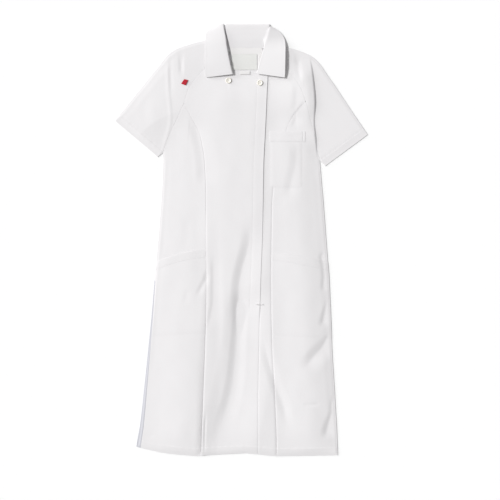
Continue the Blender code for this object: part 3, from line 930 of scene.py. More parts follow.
def surface_height(x: Array | float, y: Array | float, lift: Lift | None = None) -> Array:
    """Height of the front's upper side at a place.

    Args:
        x: X of the place.
        y: Y of the place.
        lift: What else the cloth there lies on.

    Returns:
        The height.
    """
    x, y = np.atleast_1d(np.asarray(x, float)), np.atleast_1d(np.asarray(y, float))
    return RELIEF(x, y) + CLOTH + (lift(x, y) if lift else 0.0)


STITCH_TURN = np.linspace(0.0, 2.0 * math.pi, 6, endpoint=False)
STITCH_RINGS = (
    (-0.5, 0.25, -0.5), (-0.42, 0.85, 0.1), (0.0, 1.0, 0.45), (0.42, 0.85, 0.1), (0.5, 0.25, -0.5),
)


def stitches(
    name: str, lines: Sequence[Array], pitch: float = 3.1, length: float = 2.3, radius: float = 0.14
) -> bpy.types.Mesh:
    """Make rows of sewing stitches as one mesh of small rounded bars.

    Each of a bar's rings has a place along it, a share of its radius and a rise, and six points.

    Args:
        name: The mesh's name.
        lines: Lines of points that the stitches follow, on the cloth's upper side.
        pitch: Distance from stitch to stitch.
        length: Length of a stitch.
        radius: Half of the thread's thickness.

    Returns:
        The mesh.
    """
    around, count = len(STITCH_TURN), len(STITCH_TURN) * len(STITCH_RINGS)
    one = grid_faces(len(STITCH_RINGS), around, ring=True)
    points, faces, first = [], [], 0
    for line in lines:
        path = evenly(np.asarray(line, float), pitch)
        start, end = path[:-1], path[1:]
        centre, ahead = (start + end) / 2.0, end - start
        ahead /= np.linalg.norm(ahead, axis=1, keepdims=True)
        side = np.cross(np.array([0.0, 0.0, 1.0]), ahead)
        side /= np.linalg.norm(side, axis=1, keepdims=True)
        up = np.cross(ahead, side)
        block = []
        for place, share, rise in STITCH_RINGS:
            for angle in STITCH_TURN:
                offset = radius * share * (math.cos(angle) * side + math.sin(angle) * up)
                block.append(centre + place * length * ahead + offset + rise * radius * up)
        block = np.stack(block, 1)
        starts = (first + count * np.arange(len(block)))[:, None, None]
        faces.append((starts + one[None]).reshape(-1, 4))
        for cap in (np.arange(around)[::-1], np.arange(count - around, count)):
            halves = cap[[[0, 1, 2, 3], [3, 4, 5, 0]]]
            faces.append((starts + halves[None]).reshape(-1, 4))
        points.append(block.reshape(-1, 3))
        first += count * len(block)
    return mesh_of(name, np.vstack(points), faces)


def add(
    name: str, mesh: bpy.types.Mesh, finish: Finish, nodes: Sequence[str] = (), grain: float = 0.0
) -> bpy.types.Object:
    """Put a piece in the scene.

    Args:
        name: The piece's name.
        mesh: Its mesh.
        finish: What it is made of.
        nodes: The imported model's nodes that it stands for.
        grain: Direction of its weave, in degrees.

    Returns:
        The piece.
    """
    title = f"{name}_{finish.slot}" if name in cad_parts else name
    piece = bpy.data.objects.new(title, mesh)
    bpy.context.scene.collection.objects.link(piece)
    mesh.materials.append(finish.material(title, grain))
    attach(piece, BODY)
    if nodes:
        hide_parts(*nodes)
    LOG.info("%s: %d faces", name, len(mesh.polygons))
    return piece


def cut_of(middle: Array) -> tuple[Point, float]:
    """Size of the rectangle that a piece is cut from, measured along its cloth, and its area.

    Args:
        middle: The grid of the piece's middle, in millimetres.

    Returns:
        Width and length in metres, and area in square metres.
    """
    rows = np.linalg.norm(np.diff(middle, axis=1), axis=2).sum(1)
    columns = np.linalg.norm(np.diff(middle, axis=0), axis=2).sum(0)
    first, second = middle[1:, 1:] - middle[:-1, :-1], middle[1:, :-1] - middle[:-1, 1:]
    area = float(np.linalg.norm(np.cross(first, second), axis=2).sum()) / 2.0 * MM * MM
    width, length = float(rows.max()) * MM, float(columns.max()) * MM
    return (round(width, 5), round(length, 5)), round(min(area, 0.999 * width * length), 7)


def cloth(
    name: str, middle: Array, finish: Finish, grain: float = 0.0,
    thickness: float = CLOTH, carries: Sequence[bpy.types.Object] = (),
    rim: Point = CLOTH_RIM,
) -> bpy.types.Object:
    """Args:
        name: The node's name.
        middle: The grid of the piece's middle.
        finish: What it is made of.
        grain: Direction of its weave, in degrees.
        thickness: Its thickness.
        carries: Narrow pieces that are sewn to it; not used.
        rim: Share of the thickness at its border and one place in from it.

    Returns:
        The piece.
    """
    piece = add(name, shell(name, middle, thickness, rim), finish, [name], grain)
    flat, area = cut_of(middle)
    list(carries)
    return piece


# ---- the body of the dress -----------------------------------------------------------------------

# Heights of the first rows above a hem.
HEM_ROWS = (0.0, 0.35, 1.0, 2.2, 4.0, 7.0, 10.0, 13.0, 16.0, 18.2, 19.4, 20.2, 21.0, 21.8, 22.6, 24.0)

# Places of the first rows of a sleeve, as shares of the way from its cuff's edge to its first section.
CUFF_ROWS = np.array([
    [0.0, 0.015, 0.045, 0.1, 0.2, 0.32, 0.45, 0.58, 0.68, 0.74, 0.79, 0.83, 0.87, 0.93],
]).T


def heights(low: float, high: float, pitch: float = PITCH) -> Array:
    """Heights of rows from a hem up, close together at the hem's edge and at its stitches.

    Args:
        low: Height of the hem.
        high: Height of the last row.
        pitch: Distance between rows above the hem.

    Returns:
        The heights.
    """
    first = low + np.array(HEM_ROWS)
    rest = np.arange(first[-1] + pitch, high - 0.4 * pitch, pitch)
    return np.concatenate([first, rest, [high]])


def level_row(left: float, right: float, y: float) -> tuple:
    """A level row from one x to another."""
    return (float(left), y), (float(right), y), 0.0


def hem_shape(sides: Sides) -> Array:
    """Turned and stitched hem of the skirt, with the small drag of its stitches.

    Args:
        sides: The panel's points.

    Returns:
        The change of height.
    """
    ripple = pucker(np.abs(sides.bottom - SEWN.hem), sides.x, 0.06, 7.0)
    return doubled(sides.bottom, SEWN.hem) + sewn(sides.bottom, SEWN.hem, 0.16) + ripple


def neck_shape(sides: Sides) -> Array:
    """Turned and stitched front neckline.

    Args:
        sides: The panel's points.

    Returns:
        The change of height.
    """
    return doubled(sides.top, SEWN.neck, 0.15) + sewn(sides.top, SEWN.neck)


def everywhere(y: Array) -> Array:
    """1 at every height, for a border that is folded from end to end."""
    return np.ones_like(y)


def up_to(height: float, over: float) -> AtHeight:
    """Make an amount that is 1 up to a height and eases to 0 above it.

    Args:
        height: Where it starts to fall.
        over: How much higher it reaches 0.

    Returns:
        A function of heights.
    """

    def amount(y: Array) -> Array:
        """The amount at each height."""
        return 1.0 - smooth((y - height) / over)

    return amount


@dataclass
class BackLayers:
    """The back body and the back halves of the sleeves, flat on the ground.

    The back body stops inside the folded sides by its inset up to a height at each side.
    """

    inset: float = 6.6
    inset_tops: Point = (215.0, 200.0)
    inset_fade: float = 12.0
    room: float = 0.2
    pitch: float = 8.0
    shoulder: float = 446.0
    neck_rows: tuple = (449.0, 484.3, 10)
    neck_left: tuple = ((446, -95.0), (470, -62.0), (484.5, -48.0))
    neck_right: tuple = ((446, 112.0), (466, 92.0), (484.5, 80.0))
    sleeve_neck_left: tuple = ((-60.5, 505), (-64.5, 471.5))
    sleeve_neck_right: tuple = ((94.5, 467.5), (80.5, 505))
    close: tuple = (0.0, 0.35, 1.0)

    def body_rows(self) -> list:
        """Rows of the back body from the hem to the neck."""
        left_inset, right_inset = (up_to(top, self.inset_fade) for top in self.inset_tops)
        rows = []
        for y in heights(PLAN.hem + self.inset, self.shoulder, self.pitch):
            left = PLAN.x_at(Seam.OUTER_LEFT, y) + self.inset * left_inset(y) + self.room
            right = PLAN.x_at(Seam.OUTER_RIGHT, y) - self.inset * right_inset(y) - self.room
            rows.append(level_row(left, right, y))
        for y in np.linspace(*self.neck_rows):
            rows.append(level_row(along(self.neck_left, y, 1), along(self.neck_right, y, 1), y))
        return rows

    def build(self, finish: Finish) -> None:
        """Make the three back pieces.

        Args:
            finish: What they are made of.
        """
        plain = {"base": 0.0, "pitch": self.pitch, "near": self.close, "far": self.close}
        body = Panel("back_body", self.body_rows(), **plain)
        cloth("back_body", body.middle(), finish)
        for side, neck in (("left", self.sleeve_neck_left), ("right", self.sleeve_neck_right)):
            name = "sleeve_back_" + side
            rows = [*SLEEVES[side].rows(self.inset, self.pitch), (*neck, 0.0)]
            cloth(name, Panel(name, rows, **plain).middle(), finish, SLEEVES[side].grain)


@dataclass(frozen=True)
class Sleeve:
    """One raglan sleeve: its sections from the neck down, its cuff and how its cloth runs.

    inset_share is how much of its first rows an inset takes away.
    """

    side: str
    sections: tuple
    cuff: tuple
    grain: float
    underarm: float
    pitch: float = 1.8
    inset_share: float = 0.3

    def rows(self, inset: float = 0.0, pitch: float = PITCH) -> list:
        """Rows from the cuff to the neck.

        Args:
            inset: How far inside the folded edge the rows stop.
            pitch: Distance between rows.

        Returns:
            The rows.
        """
        seam, outward = (Seam.OUTER_LEFT, -1.0) if self.side == "left" else (Seam.OUTER_RIGHT, 1.0)
        knots = np.array(self.sections[::-1], float)
        line = evenly(curve_through(knots[:, [1, 2, 0]], 2.0), pitch)
        under_x = PLAN.seam(seam, line[:, 2]) + outward * SEAM_ROOM
        lines = (line[:, :2], np.column_stack([under_x, line[:, 2]]))
        tops, unders = (np.vstack([mix(np.array(end, float), ends[0], CUFF_ROWS), ends])
                        for end, ends in zip(self.cuff, lines))
        if inset:
            inside = line[:, 2] > line[0, 2] + inset
            first = len(CUFF_ROWS)
            tops, unders = (np.vstack([mix(ends[0], ends[first], self.inset_share), ends[first:][inside]])
                            for ends in (tops, unders))
        direction = (unders - tops) / np.linalg.norm(unders - tops, axis=1, keepdims=True)
        tops = tops + direction * inset
        below = unders[:, 1] < self.underarm
        unders = unders - direction * inset * below[:, None]
        ends = (tops, unders) if self.side == "left" else (unders, tops)
        return [(tuple(a), tuple(b), 0.0) for a, b in zip(*ends)]

    def shape(self, sides: Sides) -> Array:
        """Hem of the sleeve and the drag of the raglan seam.

        Args:
            sides: The panel's points.

        Returns:
            The change of height.
        """
        under = sides.right if self.side == "left" else sides.left
        hem = doubled(sides.bottom, SEWN.cuff) + sewn(sides.bottom, SEWN.cuff, 0.18)
        return hem + pucker(np.abs(sides.bottom - SEWN.cuff), under, 0.06, 7.0) + pucker(under, sides.y)

    def front(self) -> Panel:
        """The front half of the sleeve."""
        rolls = (everywhere, up_to(self.underarm - 4.0, 5.0))
        roll_left, roll_right = rolls if self.side == "left" else rolls[::-1]
        return Panel(
            "sleeve_front_" + self.side, self.rows(pitch=self.pitch), pitch=self.pitch,
            roll_left=roll_left, roll_right=roll_right, extra=self.shape,
        )


SLEEVES = {
    "left": Sleeve("left", PLAN.sleeve_left, PLAN.cuff_left, 52.0, PLAN.underarm_left),
    "right": Sleeve("right", PLAN.sleeve_right, PLAN.cuff_right, -52.0, PLAN.underarm_right),
}


@dataclass
class Fronts:
    """The fronts: side panels, the side strip, both centre panels and the strip under the opening.

    joint_gap is how far a side front ends below the place where its princess seam meets the raglan
    seam, fold_seam how deep the cloth sinks at folded seams, and fly_close the close places beside the
    opening.
    """

    tuck: float = 2.4
    tuck_length: float = 14.0
    joint_gap: float = 0.4
    fold_seam: float = 0.3
    depth_start: float = 230.0
    depth_length: float = 60.0
    underarm_start: float = 6.0
    underarm_length: float = 8.0
    strip_close: tuple = (0.0, 0.15, 0.45, 0.9, 1.5)
    fly_close: tuple = (
        0.0, 0.35, 1.0, 2.0, 3.4, 6.0, 12.0, 18.0, 23.0, 24.6, 25.4, 26.0, 26.6, 27.4, 29.0, 32.0,
    )
    fly_room: float = 3.4
    fly_cloth: float = 0.5
    fly_pitch: float = 6.0
    fly_parts: tuple = ((2.0 + PLAN.fly_end, 368.0, 0.0), (372.0, 425.0, 1.0))
    middles: dict = field(default_factory=dict)

    def side_left(self) -> Panel:
        """Side front at the left, between the side strip and the princess seam."""
        rows = []
        for y in heights(PLAN.hem, PLAN.join_left - self.joint_gap):
            left = PLAN.x_at(Seam.OUTER_LEFT, y) + float(PLAN.strip_width(y)) + SEAM_ROOM
            rows.append(level_row(left, PLAN.x_at(Seam.PRINCESS_LEFT, y) - SEAM_ROOM, y))
        below = up_to(PLAN.underarm_left - self.underarm_start, self.underarm_length)

        def rolled(y: Array) -> Array:
            """How much of the left border turns under, between the strip and the underarm."""
            return smooth((y - PLAN.strip_top - 1.0) / 6.0) * below(y)

        def shape(sides: Sides) -> Array:
            """Hem, seams and the sink towards the princess seam."""
            seams = pucker(sides.right, sides.y, 0.05) + pucker(sides.left, sides.y + 40.0)
            return hem_shape(sides) + seams + sink(SINKS_LEFT, sides.right, sides.y)

        return Panel("side_front_left", rows, roll_left=rolled, extra=shape)

    def side_right(self) -> Panel:
        """Side front at the right, from the princess seam to the side seam."""
        rows = []
        for y in heights(PLAN.hem, PLAN.join_right - self.joint_gap):
            left = PLAN.x_at(Seam.PRINCESS_RIGHT, y) + SEAM_ROOM
            rows.append(level_row(left, PLAN.x_at(Seam.OUTER_RIGHT, y) - SEAM_ROOM, y))
        rolled = up_to(PLAN.underarm_right - self.underarm_start, self.underarm_length)

        def shape(sides: Sides) -> Array:
            """Hem and seams."""
            seams = pucker(sides.left, sides.y, 0.05) + pucker(sides.right, sides.y + 60.0, 0.05)
            return hem_shape(sides) + seams

        return Panel("side_front_right", rows, roll_right=rolled, extra=shape, dip_left=self.seam_depth)

    def strip(self) -> Panel:
        """Knitted strip along the left side, from the hip to the hem."""
        rows = []
        for y in heights(PLAN.hem, PLAN.strip_top):
            left = PLAN.x_at(Seam.OUTER_LEFT, y)
            rows.append(level_row(left, left + float(PLAN.strip_width(y)) - SEAM_ROOM, y))

        def shape(sides: Sides) -> Array:
            """Turned hem."""
            return doubled(sides.bottom, SEWN.hem)

        return Panel(
            "side_strip_left", rows, pitch=1.2, near=self.strip_close, far=self.strip_close,
            dip_right=self.fold_seam, dip_width=1.6, roll_left=everywhere, extra=shape,
        )

    def seam_depth(self, y: Array) -> Array:
        """How deep the princess seams sink, and the raglan seams above their tops."""
        return mix(SEAM_DIP, FAINT_DIP, smooth((y - self.depth_start) / self.depth_length))

    def yoke_rows(self, left_x: Callable, right_x: Callable, table: tuple, keys: Point, top: float) -> list:
        """Rows above the princess seam's top, which climb faster at the raglan seam.

        Args:
            left_x: X of the left border at a height.
            right_x: X of the right border at a height.
            table: Heights at the raglan seam and at the opening, and the sag of the row.
            keys: Columns of the heights at the left and the right border.
            top: Height of the last row at the raglan seam.

        Returns:
            The rows.
        """
        rows = []
        last = top - np.array([3.2, 2.0, 1.0, 0.35, 0.0])
        for y in np.concatenate([np.arange(table[0][0] + 3.0, top - 4.0, 3.1), last]):
            left_y, right_y, sag = (float(along(table, y, key)) for key in (*keys, 2))
            rows.append(((left_x(left_y), left_y), (right_x(right_y), right_y), sag))
        return rows

    def centre_left(self) -> Panel:
        """Left centre front, which laps over the right one at the opening."""

        def left_x(y: float) -> float:
            """X of the princess seam, and of the raglan seam above it."""
            seam = Seam.PRINCESS_LEFT if y < PLAN.join_left - self.joint_gap / 2.0 else Seam.OUTER_LEFT
            return PLAN.x_at(seam, y) + SEAM_ROOM

        def right_x(y: float) -> float:
            """X of the opening."""
            return PLAN.x_at(Seam.OPENING, y) - SEAM_ROOM

        below = up_to(PLAN.fly_end - 18.0, 20.0)

        def seam_dip(y: Array) -> Array:
            """How deep the seam below the opening sinks."""
            return self.fold_seam * below(y)

        def shape(sides: Sides) -> Array:
            """Hem, neckline, seams, the opening's edge and the swell beside the princess seam.

            Args:
                sides: The panel's points.

            Returns:
                The change of height.
            """
            over = smooth((sides.y - PLAN.fly_end + 8.0) / 12.0)
            edge = sewn(sides.right, SEWN.fly, 0.16, 1.6) * over
            seams = pucker(sides.left, sides.y) + pucker(sides.right, sides.y + 25.0) * (1 - over)
            ease = pucker(np.abs(sides.right - SEWN.fly), sides.y + 9.0, 0.03, 6.0) * over
            rise = swell(RISES_LEFT, sides.left, sides.y)
            return hem_shape(sides) + edge + neck_shape(sides) + seams + ease + rise

        levels = heights(PLAN.hem, PLAN.join_left - self.joint_gap)
        rows = [level_row(left_x(y), right_x(y), y) for y in levels]
        rows += self.yoke_rows(left_x, right_x, PLAN.top_left, (0, 1), PLAN.top_left[-1][0])
        return Panel(
            "centre_front_left", rows, FLY_LIFT, dip_left=self.seam_depth, dip_right=seam_dip,
            extra=shape, far=self.fly_close,
        )

    def centre_right(self) -> Panel:
        """Right centre front, tucked under the left one at the opening."""

        def left_x(y: float) -> float:
            """X of the tucked border."""
            tucked = self.tuck * float(smooth((y - PLAN.fly_end) / self.tuck_length))
            return PLAN.x_at(Seam.OPENING, y) + SEAM_ROOM - tucked

        def right_x(y: float) -> float:
            """X of the princess seam, and of the raglan seam above it."""
            seam = Seam.PRINCESS_RIGHT if y < PLAN.join_right - self.joint_gap / 2.0 else Seam.OUTER_RIGHT
            return PLAN.x_at(seam, y) - SEAM_ROOM

        def shape(sides: Sides) -> Array:
            """Hem, neckline, seams and the sink towards the princess seam."""
            seams = pucker(sides.right, sides.y) + pucker(sides.left, sides.y + 25.0)
            return hem_shape(sides) + neck_shape(sides) + seams + sink(SINKS_RIGHT, sides.right, sides.y)

        levels = heights(PLAN.hem, PLAN.join_right - self.joint_gap)
        rows = [level_row(left_x(y), right_x(y), y) for y in levels]
        rows += self.yoke_rows(left_x, right_x, PLAN.top_right, (1, 0), PLAN.top_right[-1][0])
        return Panel(
            "centre_front_right", rows, dip_left=self.fold_seam, dip_right=self.seam_depth, extra=shape
        )

    def fly(self) -> Panel:
        """The strip under the edge of the opening."""
        rows = []
        for low, high, climb in self.fly_parts:
            for y in np.arange(low, high, self.fly_pitch):
                right = PLAN.x_at(Seam.OPENING, y)
                rows.append(((right - SEWN.fly, y + climb), (right - self.fly_room, y), 0.0))
        return Panel("fly_strip", rows, dip_left=0.0, dip_right=0.0, thickness=self.fly_cloth)

    def build(self, twill: Finish, knit: Finish) -> None:
        """Make the fronts and the sleeves' front halves.

        Args:
            twill: The finish of the cloth.
            knit: The finish of the side strip.
        """
        cloth("fly_strip", self.fly().middle(), twill, thickness=self.fly_cloth)
        strip = self.strip()
        for panel in (self.side_left(), self.side_right(), self.centre_left(), self.centre_right(), strip):
            middle = self.middles[panel.name] = panel.middle()
            cloth(panel.name, middle, knit if panel is strip else twill)
        for sleeve in SLEEVES.values():
            panel = sleeve.front()
            middle = self.middles[panel.name] = panel.middle()
            cloth(panel.name, middle, twill, sleeve.grain)


# ---- pockets -------------------------------------------------------------------------------------

CLOSE_ENDS = np.array([0.0, 0.35, 1.0, 2.0, 3.2])
CLOSE_MARK = np.array([-1.6, -0.7, 0.0, 0.7, 1.6])
CLOSEST = 0.3


def straight_rows(
    bottom: tuple[Point, Point], top: tuple[Point, Point], places: Array, sag: float = 0.0
) -> list:
    """Rows from one straight line up to another.

    Args:
        bottom: Ends of the lowest row.
        top: Ends of the highest row.
        places: Shares of the way up.
        sag: How far the rows' middles hang down.

    Returns:
        The rows.
    """
    rows = []
    for share in places:
        left, right = (
            tuple(mix(low[k], high[k], float(share)) for k in range(2)) for low, high in zip(bottom, top)
        )
        rows.append((left, right, sag))
    return rows


def close_ends(length: float, pitch: float, marks: Sequence[float] = ()) -> Array:
    """Shares along a length, close together at both ends and at some marks.

    Args:
        length: The length.
        pitch: Distance between places elsewhere.
        marks: Distances where places are close together.

    Returns:
        The shares, from 0 to 1.
    """
    end = CLOSE_ENDS[-1]
    places = [CLOSE_ENDS, length - CLOSE_ENDS, np.arange(end + pitch, length - end - 0.5 * pitch, pitch)]
    places += [mark + CLOSE_MARK for mark in marks]
    merged = np.sort(np.concatenate(places))
    kept = [merged[0]]
    for place in merged[1:]:
        if place - kept[-1] > CLOSEST:
            kept.append(place)
    kept[-1] = length
    return np.array(kept) / length


def level(height: float) -> Lift:
    """Make a lift that is the same everywhere.

    Args:
        height: The height.

    Returns:
        A function of places.
    """

    def lift(x: Array, y: Array) -> Array:
        """The height at each place."""
        return np.full_like(x, height)

    return lift


ON_CLOTH = level(CLOTH + 0.02)


@dataclass(frozen=True)
class WaistPocket:
    """A pocket that fills a side front from seam to seam, with a stitched band along its top.

    tops and bottoms are heights at the left and right ends, and bow is how far the top curves up.
    """

    side: str
    tops: Point
    bottoms: Point
    bow: float
    dips: Point
    band: float = 21.0
    slack: float = 0.9
    slack_reach: float = 40.0
    slack_drop: float = 90.0
    gape: float = 0.5
    gape_reach: float = 45.0
    gape_drop: float = 18.0
    bottom_dip: float = 0.4
    bottom_width: float = 6.0
    band_pitch: float = 3.0

    def ends(self, levels: Point) -> tuple[Point, Point]:
        """Left and right ends of a row from seam to seam.

        Args:
            levels: Heights of the left and right ends.

        Returns:
            The two ends.
        """
        if self.side == "left":
            left = PLAN.x_at(Seam.OUTER_LEFT, levels[0]) + float(PLAN.strip_width(levels[0]))
            right = PLAN.x_at(Seam.PRINCESS_LEFT, levels[1])
        else:
            left = PLAN.x_at(Seam.PRINCESS_RIGHT, levels[0])
            right = PLAN.x_at(Seam.OUTER_RIGHT, levels[1])
        return (left + SEAM_ROOM, levels[0]), (right - SEAM_ROOM, levels[1])

    def seam_levels(self) -> Point:
        """Heights of the ends of the seam between the pocket and its band."""
        return self.tops[0] - self.band, self.tops[1] - self.band

    def row_at(self, share: float) -> tuple:
        """The row at a share of the way from the bottom to the band, with its ends on the seams."""
        left, right = (mix(low, high, share) for low, high in zip(self.bottoms, self.seam_levels()))
        return (*self.ends((left, right)), -self.bow * share)

    def loose(self, sides: Sides) -> Array:
        """Slack of the pocket and its band, and the sink towards the left princess seam.

        Args:
            sides: The panel's points.

        Returns:
            The slack and the sink.
        """
        sunk = sink(SINKS_LEFT, sides.right, sides.y) if self.side == "left" else 0.0
        return self.slack * sides.inward(self.slack_reach), sunk

    def pocket_shape(self, sides: Sides) -> Array:
        """Slack of the pocket and its stitched bottom.

        Args:
            sides: The panel's points.

        Returns:
            The change of height.
        """
        slack, sunk = self.loose(sides)
        bottom = sewn(sides.bottom, SEWN.waist_pocket, 0.04)
        bottom = bottom - self.bottom_dip * np.exp(-((sides.bottom / self.bottom_width) ** 2))
        return slack * smooth(1.0 - sides.top / self.slack_drop) + sunk + bottom

    def band_shape(self, sides: Sides) -> Array:
        """Slack of the band, its stitches and the gape of its upper edge.

        Args:
            sides: The panel's points.

        Returns:
            The change of height.
        """
        slack, sunk = self.loose(sides)
        stitched = sewn(sides.bottom, SEWN.waist_band, 0.1) + sewn(sides.top, SEWN.waist_band, 0.08)
        gape = self.gape * sides.inward(self.gape_reach) * smooth(1.0 - sides.top / self.gape_drop)
        return slack + sunk + stitched + gape + pucker(sides.bottom, sides.x, 0.06, 6.0)

    def panels(self) -> tuple[Panel, Panel]:
        """The pocket and its band."""
        rise = self.seam_levels()[0] - self.bottoms[0]
        rows = [self.row_at(float(share)) for share in close_ends(rise, PITCH)]
        places = close_ends(self.band, self.band_pitch, (SEWN.waist_band, self.band - SEWN.waist_band))
        band_rows = straight_rows(self.ends(self.seam_levels()), self.ends(self.tops), places, -self.bow)
        dips = {"dip_left": self.dips[0], "dip_right": self.dips[1]}
        pocket = Panel(
            "waist_pocket_" + self.side, rows, ON_CLOTH, extra=self.pocket_shape,
            thickness=POCKET_CLOTH, **dips,
        )
        band = Panel(
            "waist_band_" + self.side, band_rows, ON_CLOTH, extra=self.band_shape,
            thickness=BAND_CLOTH, **dips,
        )
        return pocket, band


@dataclass(frozen=True)
class ChestPocket:
    """The chest pocket with its band and the narrow pen strip beside the band."""

    left: float = 73.0
    right: float = 158.0
    top: float = 281.0
    bottom: float = 136.0
    band: float = 27.0
    strip: float = 8.0
    strip_gap: float = 0.3
    band_gap: float = 0.1
    slack: float = 0.5
    slack_reach: float = 40.0
    slack_rise: float = 50.0
    border_dip: float = 0.3
    border_width: float = 5.0
    seam_dip: float = 0.1
    pitch: float = 3.0
    band_pitch: float = 2.6
    strip_pitch: float = 1.5
    strip_close: tuple = (0.0, 0.35, 1.0, 2.0)

    def shape(self, sides: Sides) -> Array:
        """Slack of the pocket and its stitched borders.

        Args:
            sides: The panel's points.

        Returns:
            The change of height.
        """
        borders = (sides.left, sides.right, sides.bottom)
        edges = sum(sewn(distance, SEWN.chest, 0.04) for distance in borders)
        slack = self.slack * sides.inward(self.slack_reach) * smooth(sides.bottom / self.slack_rise)
        border = np.minimum(np.minimum(sides.left, sides.right), sides.bottom)
        return edges + slack - self.border_dip * np.exp(-((border / self.border_width) ** 2))

    def band_shape(self, sides: Sides) -> Array:
        """Stitches of the band and the gape of its upper edge.

        Args:
            sides: The panel's points.

        Returns:
            The change of height.
        """
        edges = sewn(sides.bottom, SEWN.chest, 0.1) + sewn(sides.top, SEWN.chest_band_top)
        gape = self.slack * sides.inward(self.slack_reach)
        return edges + gape + pucker(sides.bottom, sides.x, 0.05, 6.0)

    def strip_shape(self, sides: Sides) -> Array:
        """Stitches of the pen strip."""
        return sewn(sides.left, SEWN.pen_strip) + sewn(sides.right, SEWN.pen_strip)

    def panels(self) -> tuple[Panel, Panel, Panel]:
        """The pocket, its band and the pen strip."""
        left, right, top, seam = self.left, self.right, self.top, self.top - self.band
        below = seam - self.band_gap
        rows = straight_rows(
            ((left, self.bottom), (right, self.bottom)), ((left, below), (right, below)),
            close_ends(seam - self.bottom, self.pitch),
        )
        marks = (SEWN.chest, self.band - SEWN.chest_band_top)
        band_rows = straight_rows(
            ((left, seam), (right, seam)), ((left, top), (right, top)),
            close_ends(self.band, self.band_pitch, marks),
        )
        near, far = right + self.strip_gap, right + self.strip_gap + self.strip
        strip_rows = straight_rows(
            ((near, seam), (far, seam)), ((near, top), (far, top)), close_ends(self.band, self.band_pitch)
        )
        flat = {"dip_left": self.seam_dip, "dip_right": self.seam_dip, "dip_width": self.border_width}
        pocket = Panel(
            "chest_pocket", rows, ON_CLOTH, pitch=self.pitch, thickness=POCKET_CLOTH,
            extra=self.shape, **flat,
        )
        band = Panel(
            "chest_band", band_rows, ON_CLOTH, pitch=self.pitch, thickness=BAND_CLOTH,
            extra=self.band_shape, **flat,
        )
        pen = Panel(
            "pen_strip", strip_rows, ON_CLOTH, pitch=self.strip_pitch, thickness=BAND_CLOTH,
            near=self.strip_close, far=self.strip_close, extra=self.strip_shape, **flat,
        )
        return pocket, band, pen


@dataclass
class Pockets:
    """All three pockets."""

    waist: tuple = (
        WaistPocket("left", (-58.0, -25.0), (-252.0, -243.0), 6.0, (FAINT_DIP, FAINT_DIP)),
        WaistPocket("right", (-32.0, -60.0), (-248.0, -258.0), 3.0, (SEAM_DIP, FAINT_DIP)),
    )
    chest: ChestPocket = ChestPocket()
    middles: dict = field(default_factory=dict)

    def build(self, twill: Finish) -> None:
        """Make the pockets and their bands.

        Args:
            twill: The finish of the cloth.
        """
        for pocket in self.waist:
            for panel, grain in zip(pocket.panels(), (0.0, 90.0)):
                middle = self.middles[panel.name] = panel.middle()
                cloth(panel.name, middle, twill, grain, panel.thickness, rim=POCKET_RIM)
        pocket, band, pen = self.chest.panels()
        for panel in (pocket, band, pen):
            self.middles[panel.name] = panel.middle()
        mesh = shell(pen.name, self.middles[pen.name], pen.thickness, POCKET_RIM)
        strip = add(pen.name, mesh, twill, [pen.name], 90.0)
        for panel, grain, carries in ((pocket, 0.0, ()), (band, 90.0, (strip,))):
            cloth(
                panel.name, self.middles[panel.name], twill, grain, panel.thickness,
                carries=carries, rim=POCKET_RIM,
            )


# ---- the collar and the inside of the neck -------------------------------------------------------

# Shares of the way across the first space between the points of a leaf.
ACROSS_START = np.array([[0.0, 0.14, 0.4, 0.75]]).T
ALONG_START = np.array([[0.0, 0.12, 0.35, 0.7]]).T

# Shares of the way from a leaf's edge to its roll, with shares of its crown's height there.
LEAF_CROWN = ((0.3, 0.75), (0.6, 1.0), (0.88, 0.75))


@dataclass(frozen=True)
class CollarLeaf:
    """A collar leaf folded over its stand: sections from the front end up, each edge, roll and seam."""

    side: str
    sections: tuple
    crown: float
    thickness: float = COLLAR_CLOTH
    rows: int = 84
    columns: int = 46
    stitch_end: float = 65.0
    stitch_fade: float = 20.0

    def section(self, line: Array) -> Array:
        """Points across the leaf, from its edge over its crown and its roll to its seam.

        Args:
            line: The edge, the roll and the seam, three numbers each.

        Returns:
            The points, close together at the edge.
        """
        edge, roll, seam = line[:3], line[3:6], line[6:9]
        outward = roll - edge
        crown = [edge + outward * share + (0.0, 0.0, self.crown * rise) for share, rise in LEAF_CROWN]
        inner = roll + (seam - roll) * 0.16 + outward * (0.03, 0.03, 0.0)
        inner[2] = mix(roll[2], seam[2], 0.22)
        section = curve_through((edge, *crown, roll, inner, mix(roll, seam, 0.6), seam), 0.8)
        section = evenly(section, length_of(section) / (self.columns - 4))
        start = mix(section[0], section[1], ACROSS_START)
        return np.vstack([start, section[1:self.columns - 4], section[-1:]])

    def middle(self) -> Array:
        """Points of the middle of the leaf's cloth."""
        whole = curve_through(np.array(self.sections, float).reshape(len(self.sections), 9), 3.0)
        whole = evenly(whole, length_of(whole) / (self.rows - 5))
        first = mix(whole[0], whole[1], ALONG_START)
        last = mix(whole[-2], whole[-1], 1.0 - ALONG_START[::-1])
        grid = [self.section(line) for line in np.vstack([first, whole[1:-1], last])]
        count = min(len(row) for row in grid)
        grid = np.array([np.vstack([row[:count - 1], row[-1:]]) for row in grid])
        grid[:, :, 2] += self.thickness / 2.0
        return grid if self.side == "left" else grid[:, ::-1]

    def shaped(self) -> Array:
        """The leaf with its topstitched edges pulled in a little."""
        grid = self.middle()
        outer, turn = (grid, 1.0) if self.side == "left" else (grid[:, ::-1], -1.0)
        across = passed_along(outer)
        up = passed_along(outer.swapaxes(0, 1)).T
        fall = smooth((self.stitch_end - across) / self.stitch_fade)
        pull = sewn(across, SEWN.collar, 0.16) + sewn(up, SEWN.collar, 0.16) * fall
        outer = outer + normals_of(outer) * (pull * turn)[:, :, None]
        return outer if self.side == "left" else outer[:, ::-1]


